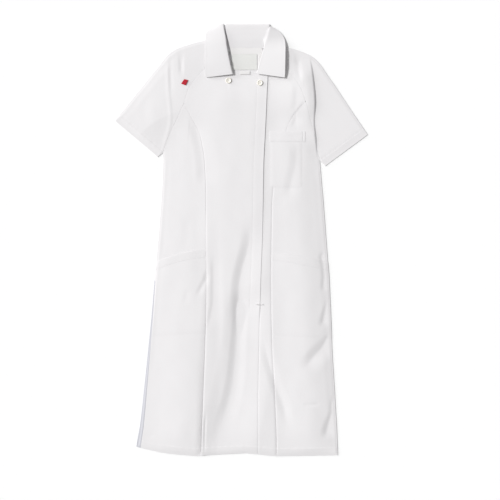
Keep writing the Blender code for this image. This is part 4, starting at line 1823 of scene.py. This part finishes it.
@dataclass
class Collar:
    """The collar: two leaves, and the back folded in two with its fall under its stand."""

    left: CollarLeaf = CollarLeaf("left", (
        ((-91, 421, 5.2), (-22.5, 429, 8.6), (-38, 433, 4.6)),
        ((-95, 428, 6.0), (-25, 438, 9.4), (-42, 441, 4.6)),
        ((-95, 455, 8.2), (-30, 460, 10.2), (-49, 461, 4.6)),
        ((-95, 485, 8.0), (-35, 485, 10.2), (-55, 484, 4.6)),
        ((-95, 507, 7.2), (-39, 507, 9.8), (-57, 504, 4.4)),
        ((-94, 521, 5.6), (-41, 525, 9.2), (-59, 519, 4.2)),
        ((-90, 538, 3.8), (-44.5, 543, 7.4), (-60, 534, 3.4)),
        ((-66, 554, 2.6), (-47.5, 561, 4.8), (-55, 546, 2.4)),
    ), 0.7)
    right: CollarLeaf = CollarLeaf("right", (
        ((112, 420, 12.6), (43, 430, 7.4), (39, 432, 7.3)),
        ((113, 430, 13.4), (46, 441, 7.8), (42, 443, 7.7)),
        ((113.5, 456, 14.0), (52, 462, 8.4), (47.5, 463, 8.3)),
        ((114, 485, 12.8), (58.5, 485, 8.2), (54, 484, 8.1)),
        ((114, 504, 8.6), (63, 506, 7.0), (59, 504, 6.9)),
        ((111.5, 522, 2.9), (67.5, 524, 6.6), (57, 518, 4.7)),
        ((101, 538, 1.8), (72, 540, 5.8), (64, 532, 5.7)),
        ((86, 549, 1.6), (75, 554, 4.6), (68, 545, 4.7)),
    ), 0.1)
    back: tuple = (
        (486, 0.7, -50, 72), (520, 0.7, -50, 72), (528, 0.7, -68, 94), (545, 0.7, -51, 88),
        (555, 0.9, -44, 77), (559.4, 2.3, -43, 74), (557.5, 3.5, -42.5, 74), (545, 4.2, -41, 72),
        (525, 4.1, -37.5, 69), (508, 2.9, -33.5, 66), (496, 1.9, -31, 66),
    )
    back_cloth: float = 1.1
    back_columns: int = 44
    seam_depth: float = 0.2
    seam_width: float = 1.3
    seam_places: Point = (528.0, 545.0)
    middles: dict = field(default_factory=dict)

    def back_middle(self) -> Array:
        """Points of the middle of the back's cloth, from the fall's edge round the fold to the seam."""
        line = evenly(curve_through(self.back, 1.5), 2.0)
        share = np.linspace(0.0, 1.0, self.back_columns)
        x = line[:, 2:3] + (line[:, 3:4] - line[:, 2:3]) * share
        y = np.repeat(line[:, :1], len(share), 1)
        z = np.repeat(line[:, 1:2], len(share), 1)
        upper = smooth((z - 2.3) / 1.5)
        waves = 0.2 * np.sin(x / 21.0 + 1.0) * np.sin((y - 495.0) / 9.0) + 0.1 * np.sin(x / 9.0 + y / 14.0)
        seams = sum(sewn(y, place, self.seam_depth, self.seam_width) for place in self.seam_places)
        return np.dstack([x, y, z + upper * (waves + seams)])

    def build(self, twill: Finish) -> None:
        """Make the two leaves and the back of the collar.

        Args:
            twill: The finish of the cloth.
        """
        for leaf in (self.left, self.right):
            name = "collar_leaf_" + leaf.side
            middle = self.middles[name] = leaf.shaped()
            cloth(name, middle, twill, 0.0, leaf.thickness)
        middle = self.middles["collar_back"] = self.back_middle()
        cloth(
            "collar_back", middle, twill, 90.0, self.back_cloth,
            rim=COLLAR_BACK_RIM,
        )


def flat_patch(
    name: str, outline: Sequence[Point], bottom: float, thickness: float, rise: float = 0.0
) -> bpy.types.Mesh:
    """Make a small flat piece from four corners, with rounded edges.

    Args:
        name: The mesh's name.
        outline: Its corners: lower left, lower right, upper right and upper left.
        bottom: Height of its underside.
        thickness: Its thickness.
        rise: How far its middle stands up.

    Returns:
        The mesh.
    """
    corners = np.array(outline, float)
    width = np.linalg.norm(corners[1] - corners[0])
    height = np.linalg.norm(corners[3] - corners[0])
    u = close_ends(max(width, 7.0), max(1.0, width / 24.0))
    v = close_ends(max(height, 7.0), max(1.0, height / 24.0))[:, None, None]
    low = corners[0] + (corners[1] - corners[0]) * u[:, None]
    high = corners[3] + (corners[2] - corners[3]) * u[:, None]
    places = low[None] + (high - low)[None] * v
    crown = rise * 16.0 * (u * (1 - u))[None, :] * (v * (1 - v))[:, :, 0]
    return shell(name, np.dstack([places, bottom + thickness / 2.0 + crown]), thickness)


@dataclass
class NeckTrims:
    """The tape, the blank label and the blank size tab inside the back neck."""

    level: float = 1.5
    tape_outer: tuple = (
        (-31, 499.5), (10, 500.5), (45, 499.8), (56, 492), (57, 478), (54, 462), (49, 444), (47, 434),
    )
    tape_inner: tuple = (
        (-29, 481.5), (8, 481.6), (36, 481.5), (42.5, 479.5), (43.4, 473), (43, 460), (42, 446),
        (41.3, 434),
    )
    tape_width: float = 11.0
    tape_rows: int = 60
    label: tuple = ((-27, 441), (40.7, 441), (40.7, 483.0), (-27, 483.0))
    tab: tuple = ((-4, 429), (22, 429), (22, 437.5), (-4, 437.5))
    tab_cloth: float = 1.4

    def tape(self) -> bpy.types.Mesh:
        """Tape over the neck seam, down the right side of the label."""
        lines = [curve_through(knots, 2.0) for knots in (self.tape_outer, self.tape_inner)]
        outer, inner = (line[np.linspace(0, len(line) - 1, self.tape_rows).astype(int)] for line in lines)
        share = close_ends(self.tape_width, 1.6)[:, None, None]
        grid = inner[None] + (outer - inner)[None] * share
        level = self.level + 0.65 + 0.12 * np.sin(grid[:, :, 0] / 9.0 + grid[:, :, 1] / 7.0)
        return shell("neck_tape", np.dstack([grid, level]), TRIM_CLOTH)

    def build(self, tape: Finish, label: Finish) -> None:
        """Make the three trims.

        Args:
            tape: The finish of the tape and the size tab.
            label: The finish of the label.
        """
        add("neck_tape", self.tape(), tape, ["neck_tape"])
        patch = flat_patch("neck_label", self.label, self.level, TRIM_CLOTH, 0.5)
        add("neck_label", patch, label, ["neck_label"])
        tab = flat_patch("size_tab", self.tab, self.level, self.tab_cloth, 0.3)
        add("size_tab", tab, tape, ["size_tab"])


# ---- small parts ---------------------------------------------------------------------------------


@dataclass(frozen=True)
class Button:
    """A round pearl button with a raised rim, four holes and its thread."""

    place: Point
    section: tuple = (
        (0.0, 1.55), (1.1, 1.5), (2.6, 1.5), (4.0, 1.7), (4.9, 2.35), (5.6, 2.85), (6.3, 2.95), (6.95, 2.6),
        (7.4, 1.9), (7.45, 1.3), (7.1, 0.75), (6.0, 0.4), (4.0, 0.15), (0.0, 0.0),
    )
    hole_ring: float = 1.75
    hole_size: float = 0.78
    hole_edge: float = 0.3
    hole_floor: float = 0.5
    hole_turns: tuple = tuple(math.pi / 4.0 + quarter * math.pi / 2.0 for quarter in range(4))
    under: float = 0.35
    foot: float = 6.0
    steps: int = 96

    def height(self) -> float:
        """Height of the cloth under the button."""
        turn = np.linspace(0.0, 2.0 * math.pi, 24)
        x, y = self.place[0] + self.foot * np.cos(turn), self.place[1] + self.foot * np.sin(turn)
        return float(surface_height(x, y, FLY_LIFT).max())

    def body(self, name: str) -> bpy.types.Mesh:
        """The turned button, with its holes sunk into the face.

        Args:
            name: The mesh's name.

        Returns:
            The mesh.
        """
        line = evenly(curve_through(self.section, 0.2), 0.26)
        line[:, 0] = np.maximum(line[:, 0], 0.02)
        line = line[::-1]
        turn = np.linspace(0.0, 2.0 * math.pi, self.steps, endpoint=False)
        x = line[:, :1] * np.cos(turn)
        y = line[:, :1] * np.sin(turn)
        z = np.repeat(line[:, 1:], self.steps, 1)
        for angle in self.hole_turns:
            away = np.hypot(x - self.hole_ring * math.cos(angle), y - self.hole_ring * math.sin(angle))
            sunk = smooth((self.hole_size - away) / self.hole_edge) * (z > 0.9)
            z = z - sunk * (z - self.hole_floor)
        grid = np.dstack([x + self.place[0], y + self.place[1], z + self.height() + self.under])
        low_cap = np.arange(self.steps)[None]
        high_cap = low_cap + (len(line) - 1) * self.steps
        walls = grid_faces(len(line), self.steps, ring=True)
        return mesh_of(name, grid.reshape(-1, 3), [walls, low_cap[:, ::-1], high_cap])

    def thread(self) -> list[Array]:
        """Lines of the thread that crosses between the holes."""
        top = self.height() + self.under + 1.75
        lines = []
        for angle in self.hole_turns:
            ahead = np.array([math.cos(angle), math.sin(angle)])
            across = np.array([-ahead[1], ahead[0]])
            for shift in (-0.28, 0.0, 0.28):
                middle = np.array(self.place) + across * shift
                start = middle + ahead * (self.hole_ring + 0.25)
                lines.append(np.array([(*start, top - 0.6), (*middle, top)]))
        return lines


@dataclass
class SmallParts:
    """Buttons, the bar tack at the end of the opening and the folded red tab."""

    buttons: dict = field(default_factory=lambda: {
        "button_left": Button((-34.0, 413.0)), "button_right": Button((47.5, 407.0)),
    })
    tack: tuple = ((38.0, -168.0), (56.0, -168.0))
    tab: tuple = ((-156.5, 404.8), (-144.8, 400.6), (-138.6, 414.0), (-148.7, 416.5))

    def bar_tack(self) -> bpy.types.Mesh:
        """Close satin stitches over a pad of thread."""
        (x0, y0), (x1, _) = self.tack
        top = float(max(surface_height(x, y0, FLY_LIFT)[0] for x in np.linspace(x0, x1, 7))) + 0.35
        lines = [np.array([(x0 + 0.3, y0 + dy, top), (x1 - 0.3, y0 + dy, top)]) for dy in (-0.5, 0.0, 0.5)]
        length = x1 - x0 - 0.6
        pad = stitches("bar_tack", lines, pitch=length, length=length, radius=0.35)
        bars = []
        for index, x in enumerate(np.arange(x0, x1, 0.42)):
            lean = 0.12 if index % 2 else -0.12
            bars.append(np.array([(x - lean, y0 - 1.25, top + 0.25), (x + lean, y0 + 1.25, top + 0.25)]))
        satin = stitches("bar_tack_satin", bars, pitch=2.5, length=2.9, radius=0.28)
        return joined("bar_tack", [pad, satin])

    def red_tab(self) -> bpy.types.Mesh:
        """A woven loop folded in two and caught in the seam at one end."""
        a, b, c, d = (np.array(corner) for corner in self.tab)
        span = close_ends(14.0, 1.2)
        fold = np.concatenate([np.linspace(0.0, 1.0, 16), np.linspace(1.0, 0.0, 16)])
        lower, bend, upper = np.linspace(0.35, 0.5, 14), (0.8, 1.2, 1.6, 1.95), np.linspace(2.1, 1.5, 14)
        lift = np.concatenate([lower, bend, upper])
        low, high = mix(d, a, fold[:, None]), mix(c, b, fold[:, None])
        grid = mix(low, high, span[:, None, None])
        ground = surface_height(grid[:, :, 0].ravel(), grid[:, :, 1].ravel()).max()
        level = np.repeat((ground + 0.2 + lift)[None], len(span), 0)
        return shell("red_tab", np.dstack([grid, level]), 0.5)

    def build(self, pearl: Finish, thread: Finish, red: Finish) -> None:
        """Make the small parts.

        Args:
            pearl: The finish of the buttons.
            thread: The finish of the thread.
            red: The finish of the folded tab.
        """
        for name, button in self.buttons.items():
            add(name, button.body(name), pearl, [name])
            add(name + "_thread", stitches(name + "_thread", button.thread(), 2.0, 2.2, 0.17), thread)
        add("bar_tack", self.bar_tack(), thread, ["bar_tack"])
        add("red_tab", self.red_tab(), red, ["red_tab"])


def joined(name: str, meshes: Sequence[bpy.types.Mesh]) -> bpy.types.Mesh:
    """Join meshes into one.

    Args:
        name: The new mesh's name.
        meshes: The meshes, which are removed.

    Returns:
        The mesh.
    """
    points, faces, first = [], [], 0
    for mesh in meshes:
        co = np.empty(len(mesh.vertices) * 3, np.float32)
        mesh.vertices.foreach_get("co", co)
        points.append(co.reshape(-1, 3) / MM)
        corners = np.empty(len(mesh.loops), np.int32)
        mesh.loops.foreach_get("vertex_index", corners)
        faces.append(corners.reshape(-1, 4) + first)
        first += len(mesh.vertices)
        bpy.data.meshes.remove(mesh)
    return mesh_of(name, np.vstack(points), faces)


@dataclass
class Stitching:
    """Rows of stitches along the hems, the pockets, the opening, the front neckline and the collar's leaves.
    """

    middles: dict

    def line(
        self, name: str, border: Border, distance: float, trim: int = 1, thickness: float = CLOTH
    ) -> Array:
        """A line of stitches on one piece.

        Args:
            name: The piece's name.
            border: The border that the line follows.
            distance: How far inside the border it lies.
            trim: How many points are left out at both ends.
            thickness: The piece's thickness.

        Returns:
            The line's points.
        """
        return inset_line(self.middles[name], border, distance, thickness / 2.0 - 0.02, trim)

    def hems(self) -> list[Array]:
        """Lines round the skirt's and the sleeves' hems."""
        names = ("side_front_left", "centre_front_left", "centre_front_right", "side_front_right")
        lines = [self.line(name, Border.BOTTOM, SEWN.hem) for name in names]
        lines.append(self.line("side_strip_left", Border.BOTTOM, SEWN.hem, 3))
        for name in ("sleeve_front_left", "sleeve_front_right"):
            lines.append(self.line(name, Border.BOTTOM, SEWN.cuff, 4))
        return lines

    def opening(self) -> list[Array]:
        """Lines beside the opening and along the front neckline."""
        edge = self.line("centre_front_left", Border.RIGHT, SEWN.fly)
        edge = edge[edge[:, 1] > PLAN.fly_end]
        turn = np.array([edge[0] + (9.0 * share, -9.0 * share, 0.1) for share in (1.0, 0.66, 0.33)])
        turn[:, 2] = surface_height(turn[:, 0], turn[:, 1], FLY_LIFT) + 0.1
        fronts = ("centre_front_left", "centre_front_right")
        return [np.vstack([turn, edge]), *(self.line(name, Border.TOP, SEWN.neck, 2) for name in fronts)]

    def pockets(self) -> list[Array]:
        """Lines round the pockets and along their bands."""
        lines = []
        for side in ("left", "right"):
            for border in (Border.BOTTOM, Border.TOP):
                lines.append(self.line("waist_band_" + side, border, SEWN.waist_band, 2, BAND_CLOTH))
            name = "waist_pocket_" + side
            lines.append(self.line(name, Border.BOTTOM, SEWN.waist_pocket, 2, POCKET_CLOTH))
        for border in (Border.LEFT, Border.RIGHT, Border.BOTTOM):
            lines.append(self.line("chest_pocket", border, SEWN.chest, 4, POCKET_CLOTH))
        lines.append(self.line("chest_band", Border.BOTTOM, SEWN.chest, 2, BAND_CLOTH))
        lines.append(self.line("chest_band", Border.TOP, SEWN.chest_band_top, 2, BAND_CLOTH))
        for border in (Border.LEFT, Border.RIGHT):
            lines.append(self.line("pen_strip", border, SEWN.pen_strip, 2, BAND_CLOTH))
        return lines

    def collar(self) -> list[Array]:
        """Lines along the outer edges and the front ends of the collar's leaves."""
        lines = []
        for side, outer in (("left", Border.LEFT), ("right", Border.RIGHT)):
            name = "collar_leaf_" + side
            edge = self.line(name, outer, SEWN.collar, 3, COLLAR_CLOTH)
            lines.append(edge[edge[:, 1] > edge[:, 1].min() + 1.0])
            front = self.line(name, Border.BOTTOM, SEWN.collar, 0, COLLAR_CLOTH)
            reach = front[:, 0] < -30.0 if side == "left" else front[:, 0] > 50.0
            inside = front[:, 0] > -89.0 if side == "left" else front[:, 0] < 107.0
            lines.append(front[reach & inside])
        return lines

    def build(self, thread: Finish) -> None:
        """Make the stitches, one mesh for each part of the dress.

        Args:
            thread: The finish of the thread.
        """
        for part in (self.hems, self.opening, self.pockets, self.collar):
            name = "stitching_" + part.__name__
            add(name, stitches(name, part()), thread)


# ---- finishes ------------------------------------------------------------------------------------


class Socket:
    """A node's socket that can be added, subtracted, multiplied and divided like a number."""

    def __init__(self, tree: bpy.types.NodeTree, output: bpy.types.NodeSocket) -> None:
        """Keep the socket and its tree."""
        self.tree = tree
        self.output = output

    def _math(self, operation: str, first: Socket | float, second: Socket | float) -> Socket:
        """Add a Math node.

        Args:
            operation: What it does.
            first: Its first value.
            second: Its second value.

        Returns:
            Its result.
        """
        node = node_of(self.tree, "ShaderNodeMath", {"operation": operation}, {0: first, 1: second})
        return Socket(self.tree, node.outputs[0])

    def __add__(self, other: Socket | float) -> Socket:
        """This value plus another."""
        return self._math("ADD", self, other)

    def __radd__(self, other: float) -> Socket:
        """A number plus this value."""
        return self._math("ADD", other, self)

    def __sub__(self, other: Socket | float) -> Socket:
        """This value minus another."""
        return self._math("SUBTRACT", self, other)

    def __rsub__(self, other: float) -> Socket:
        """A number minus this value."""
        return self._math("SUBTRACT", other, self)

    def __mul__(self, other: Socket | float) -> Socket:
        """This value times another."""
        return self._math("MULTIPLY", self, other)

    def __rmul__(self, other: float) -> Socket:
        """A number times this value."""
        return self._math("MULTIPLY", other, self)

    def sine(self) -> Socket:
        """The sine of this value."""
        return self._math("SINE", self, 0.0)

    def above(self, limit: float) -> Socket:
        """1 where this value is above a limit, else 0."""
        return self._math("GREATER_THAN", self, limit)


def node_of(tree: bpy.types.NodeTree, kind: str, settings: dict, inputs: dict) -> bpy.types.Node:
    """Add a node.

    Args:
        tree: The material's tree.
        kind: The node's type.
        settings: Its settings, set before its sockets.
        inputs: Values or sockets for its inputs, by name or number.

    Returns:
        The node.
    """
    node = tree.nodes.new(kind)
    for key, value in settings.items():
        setattr(node, key, value)
    for key, value in inputs.items():
        target = node.inputs[key]
        if isinstance(value, Socket):
            tree.links.new(value.output, target)
        else:
            target.default_value = value
    return node


class Weave(Enum):
    """How a finish's surface is made up."""

    TWILL = "twill"
    KNIT = "knit"
    TAPE = "tape"
    THREAD = "thread"
    PEARL = "pearl"


@dataclass(frozen=True)
class Finish:
    """A finish: its slot in the record, its colour, and the scale and depth of its surface."""

    slot: str
    weave: Weave
    colour: tuple[float, float, float]
    # shade is the darker tone mixed in: random patches, and painted shade in the grooves of the weave
    shade: tuple[float, float, float]
    roughness: float
    pitch: float
    relief: float
    sheen: float = 0.0
    coat: float = 0.0
    softness: float = 0.0

    def pattern(self, tree: bpy.types.NodeTree, grain: float) -> Socket:
        """Height of the yarns from about -1 to 1.

        Args:
            tree: The material's tree.
            grain: Direction of the warp, in degrees.

        Returns:
            The height.
        """
        place = Socket(tree, node_of(tree, "ShaderNodeTexCoord", {}, {}).outputs["Object"])
        turn = math.radians(grain)
        spread = 2.0 * math.pi / (self.pitch * MM)

        def run(x: float, y: float) -> Socket:
            """How far the yarns have turned along a direction, given by its x and y."""
            inputs = {0: place, 1: (x * spread, y * spread, 0.0)}
            node = node_of(tree, "ShaderNodeVectorMath", {"operation": "DOT_PRODUCT"}, inputs)
            return Socket(tree, node.outputs["Value"])

        weft, warp = run(math.cos(turn), math.sin(turn)), run(-math.sin(turn), math.cos(turn))
        if self.weave is Weave.TWILL:
            return (weft * 0.8 + warp * 0.6).sine() * 0.7 + (warp * 2.0).sine() * 0.3
        if self.weave is Weave.KNIT:
            return weft.sine() * (0.6 + 0.4 * (warp * 0.7 + weft.sine() * 1.2).sine())
        if self.weave is Weave.TAPE:
            return weft.sine() * warp.sine()
        if self.weave is Weave.THREAD:
            return (weft + warp).sine()
        return (warp * 0.13 + weft.sine() * 0.4).sine() * 0.2

    def noise(self, tree: bpy.types.NodeTree, scale: float, detail: float) -> Socket:
        """Unevenness from 0 to 1.

        Args:
            tree: The material's tree.
            scale: Number of waves for each metre.
            detail: How many finer layers it has.

        Returns:
            The unevenness.
        """
        place = Socket(tree, node_of(tree, "ShaderNodeTexCoord", {}, {}).outputs["Object"])
        inputs = {"Vector": place, "Scale": scale, "Detail": detail, "Roughness": 0.55}
        node = node_of(tree, "ShaderNodeTexNoise", {"noise_dimensions": "3D"}, inputs)
        return Socket(tree, node.outputs["Fac"])

    def material(self, name: str, grain: float) -> bpy.types.Material:
        """Make the finish's material for one piece.

        Args:
            name: The piece's name.
            grain: Direction of its warp, in degrees.

        Returns:
            The material.
        """
        made = bpy.data.materials.new(f"{name}_{self.slot}")
        made.use_nodes = True
        tree = made.node_tree
        shader = tree.nodes["Principled BSDF"]
        yarns = self.pattern(tree, grain)
        cloudy = self.noise(tree, 16.0, 3.0)
        fine = self.noise(tree, 900.0, 2.0)
        # Lighter where the pattern stands high and darker where it is low, which is painted shade in the
        # grooves between yarns; the two noises add random tone
        share = 0.5 + 0.16 * yarns + 0.55 * (cloudy - 0.5) + 0.5 * (fine - 0.5)
        colours = {0: share, 6: (*self.shade, 1.0), 7: (*self.colour, 1.0)}
        blend = node_of(tree, "ShaderNodeMix", {"data_type": "RGBA", "clamp_factor": True}, colours)
        height = yarns * 0.5 + fine * 0.4
        bumps = {"Strength": self.relief, "Distance": self.pitch * 0.12 * MM, "Height": height}
        bump = node_of(tree, "ShaderNodeBump", {}, bumps)
        if self.softness:
            crumple = self.noise(tree, 55.0, 2.0)
            bumps = {"Strength": self.softness, "Distance": 0.5 * MM, "Height": crumple}
            soft = node_of(tree, "ShaderNodeBump", {}, bumps)
            tree.links.new(soft.outputs["Normal"], bump.inputs["Normal"])
        rough = self.roughness + 0.08 * (fine - 0.5)
        tree.links.new(blend.outputs[2], shader.inputs["Base Color"])
        tree.links.new(rough.output, shader.inputs["Roughness"])
        tree.links.new(bump.outputs["Normal"], shader.inputs["Normal"])
        plain = {
            "Sheen Weight": self.sheen, "Sheen Roughness": 0.45, "Coat Weight": self.coat,
            "Coat Roughness": 0.12, "Specular IOR Level": 0.3,
        }
        for key, value in plain.items():
            shader.inputs[key].default_value = value
        return made


@dataclass(frozen=True)
class Finishes:
    """Every finish of the dress."""

    twill: Finish = Finish(
        "white_twill", Weave.TWILL, (0.79, 0.776, 0.785), (0.758, 0.745, 0.753), 0.82, 1.0, 0.35,
        sheen=0.12, softness=0.16,
    )
    knit: Finish = Finish(
        "lilac_tricot", Weave.KNIT, (0.63, 0.632, 0.67), (0.56, 0.564, 0.61), 0.8, 1.3, 0.5,
        sheen=0.2, softness=0.1,
    )
    tape: Finish = Finish(
        "tape_white", Weave.TAPE, (0.81, 0.797, 0.795), (0.76, 0.745, 0.74), 0.7, 0.9, 0.4
    )
    label: Finish = Finish(
        "label_grey", Weave.TAPE, (0.775, 0.775, 0.755), (0.71, 0.712, 0.692), 0.55, 0.7, 0.35
    )
    red: Finish = Finish("tab_red", Weave.TAPE, (0.52, 0.012, 0.03), (0.38, 0.008, 0.02), 0.55, 0.8, 0.55)
    pearl: Finish = Finish(
        "button_pearl", Weave.PEARL, (0.93, 0.9, 0.83), (0.86, 0.82, 0.74), 0.22, 3.0, 0.1, coat=0.5
    )
    thread: Finish = Finish(
        "thread_white", Weave.THREAD, (0.81, 0.796, 0.80), (0.76, 0.747, 0.752), 0.7, 0.45, 0.5
    )


# ---- floor, light and camera ---------------------------------------------------------------------


@dataclass(frozen=True)
class Studio:
    """Pale floor, soft light from the left and a camera straight above.

    key and rake each have a strength, a height and a turn towards the collar in degrees, and a spread.
    The camera sees a field of some width from its distance.
    """

    aim: tuple = (22.0, -27.0)
    field: float = 1300.0
    distance: float = 4000.0
    sensor: float = 36.0
    floor_side: float = 60.0
    floor_gap: float = 0.05
    floor_tone: tuple = (0.93, 0.93, 0.93, 1.0)
    key: tuple = (2.6, 48.0, 20.0, 11.0)
    rake: tuple = (1.1, 14.0, 25.0, 20.0)
    fill: float = 0.38

    def floor(self) -> None:
        """Lay the floor."""
        half = self.floor_side / 2.0 / MM
        corners = ((-half, -half), (half, -half), (half, half), (-half, half))
        points = np.array([(x, y, -self.floor_gap) for x, y in corners])
        mesh = mesh_of("floor", points, [np.array([[0, 1, 2, 3]])])
        material = bpy.data.materials.new("pale_floor")
        material.use_nodes = True
        shader = material.node_tree.nodes["Principled BSDF"]
        shader.inputs["Base Color"].default_value = self.floor_tone
        shader.inputs["Roughness"].default_value = 0.95
        shader.inputs["Specular IOR Level"].default_value = 0.0
        mesh.materials.append(material)
        floor = bpy.data.objects.new("floor", mesh)
        bpy.context.scene.collection.objects.link(floor)

    def light(
        self, name: str, strength: float, elevation: float, towards_top: float, spread: float
    ) -> None:
        """Add an even, soft light from the left.

        Args:
            name: The light's name.
            strength: Its strength.
            elevation: How high it stands, in degrees.
            towards_top: How far it is turned towards the collar, in degrees.
            spread: How wide it looks from the dress, in degrees.
        """
        data = bpy.data.lights.new(name, "SUN")
        data.energy = strength
        data.angle = math.radians(spread)
        lamp = bpy.data.objects.new(name, data)
        high, turned = math.radians(elevation), math.radians(towards_top)
        level_part = math.cos(high)
        source = Vector((-level_part * math.cos(turned), level_part * math.sin(turned), math.sin(high)))
        lamp.rotation_euler = (-source).to_track_quat("-Z", "Y").to_euler()
        bpy.context.scene.collection.objects.link(lamp)

    def world(self) -> None:
        """Set the even light from all round, and plain tones."""
        scene = bpy.context.scene
        scene.world = bpy.data.worlds.new("studio")
        scene.world.use_nodes = True
        background = scene.world.node_tree.nodes["Background"]
        background.inputs["Color"].default_value = (1.0, 1.0, 1.0, 1.0)
        background.inputs["Strength"].default_value = self.fill
        scene.view_settings.view_transform = "Standard"

    def camera(self) -> None:
        """Hang the camera."""
        data = bpy.data.cameras.new("camera")
        data.sensor_width = self.sensor
        data.lens = self.sensor * self.distance / self.field
        camera = bpy.data.objects.new("camera", data)
        camera.location = (self.aim[0] * MM, self.aim[1] * MM, self.distance * MM)
        bpy.context.scene.collection.objects.link(camera)
        bpy.context.scene.camera = camera

    def build(self) -> None:
        """Set up the floor, the lights and the camera."""
        self.floor()
        self.light("key", *self.key)
        self.light("rake", *self.rake)
        self.world()
        self.camera()


def main() -> None:
    """Build the dress and its setting, part by part."""
    logging.basicConfig(level=logging.INFO, format="%(message)s")
    finishes = Finishes()
    Studio().build()
    BackLayers().build(finishes.twill)
    fronts, pockets, collar = Fronts(), Pockets(), Collar()
    fronts.build(finishes.twill, finishes.knit)
    pockets.build(finishes.twill)
    collar.build(finishes.twill)
    NeckTrims().build(finishes.tape, finishes.label)
    SmallParts().build(finishes.pearl, finishes.thread, finishes.red)
    Stitching({**fronts.middles, **pockets.middles, **collar.middles}).build(finishes.thread)


if __name__ == "__main__":
    main()
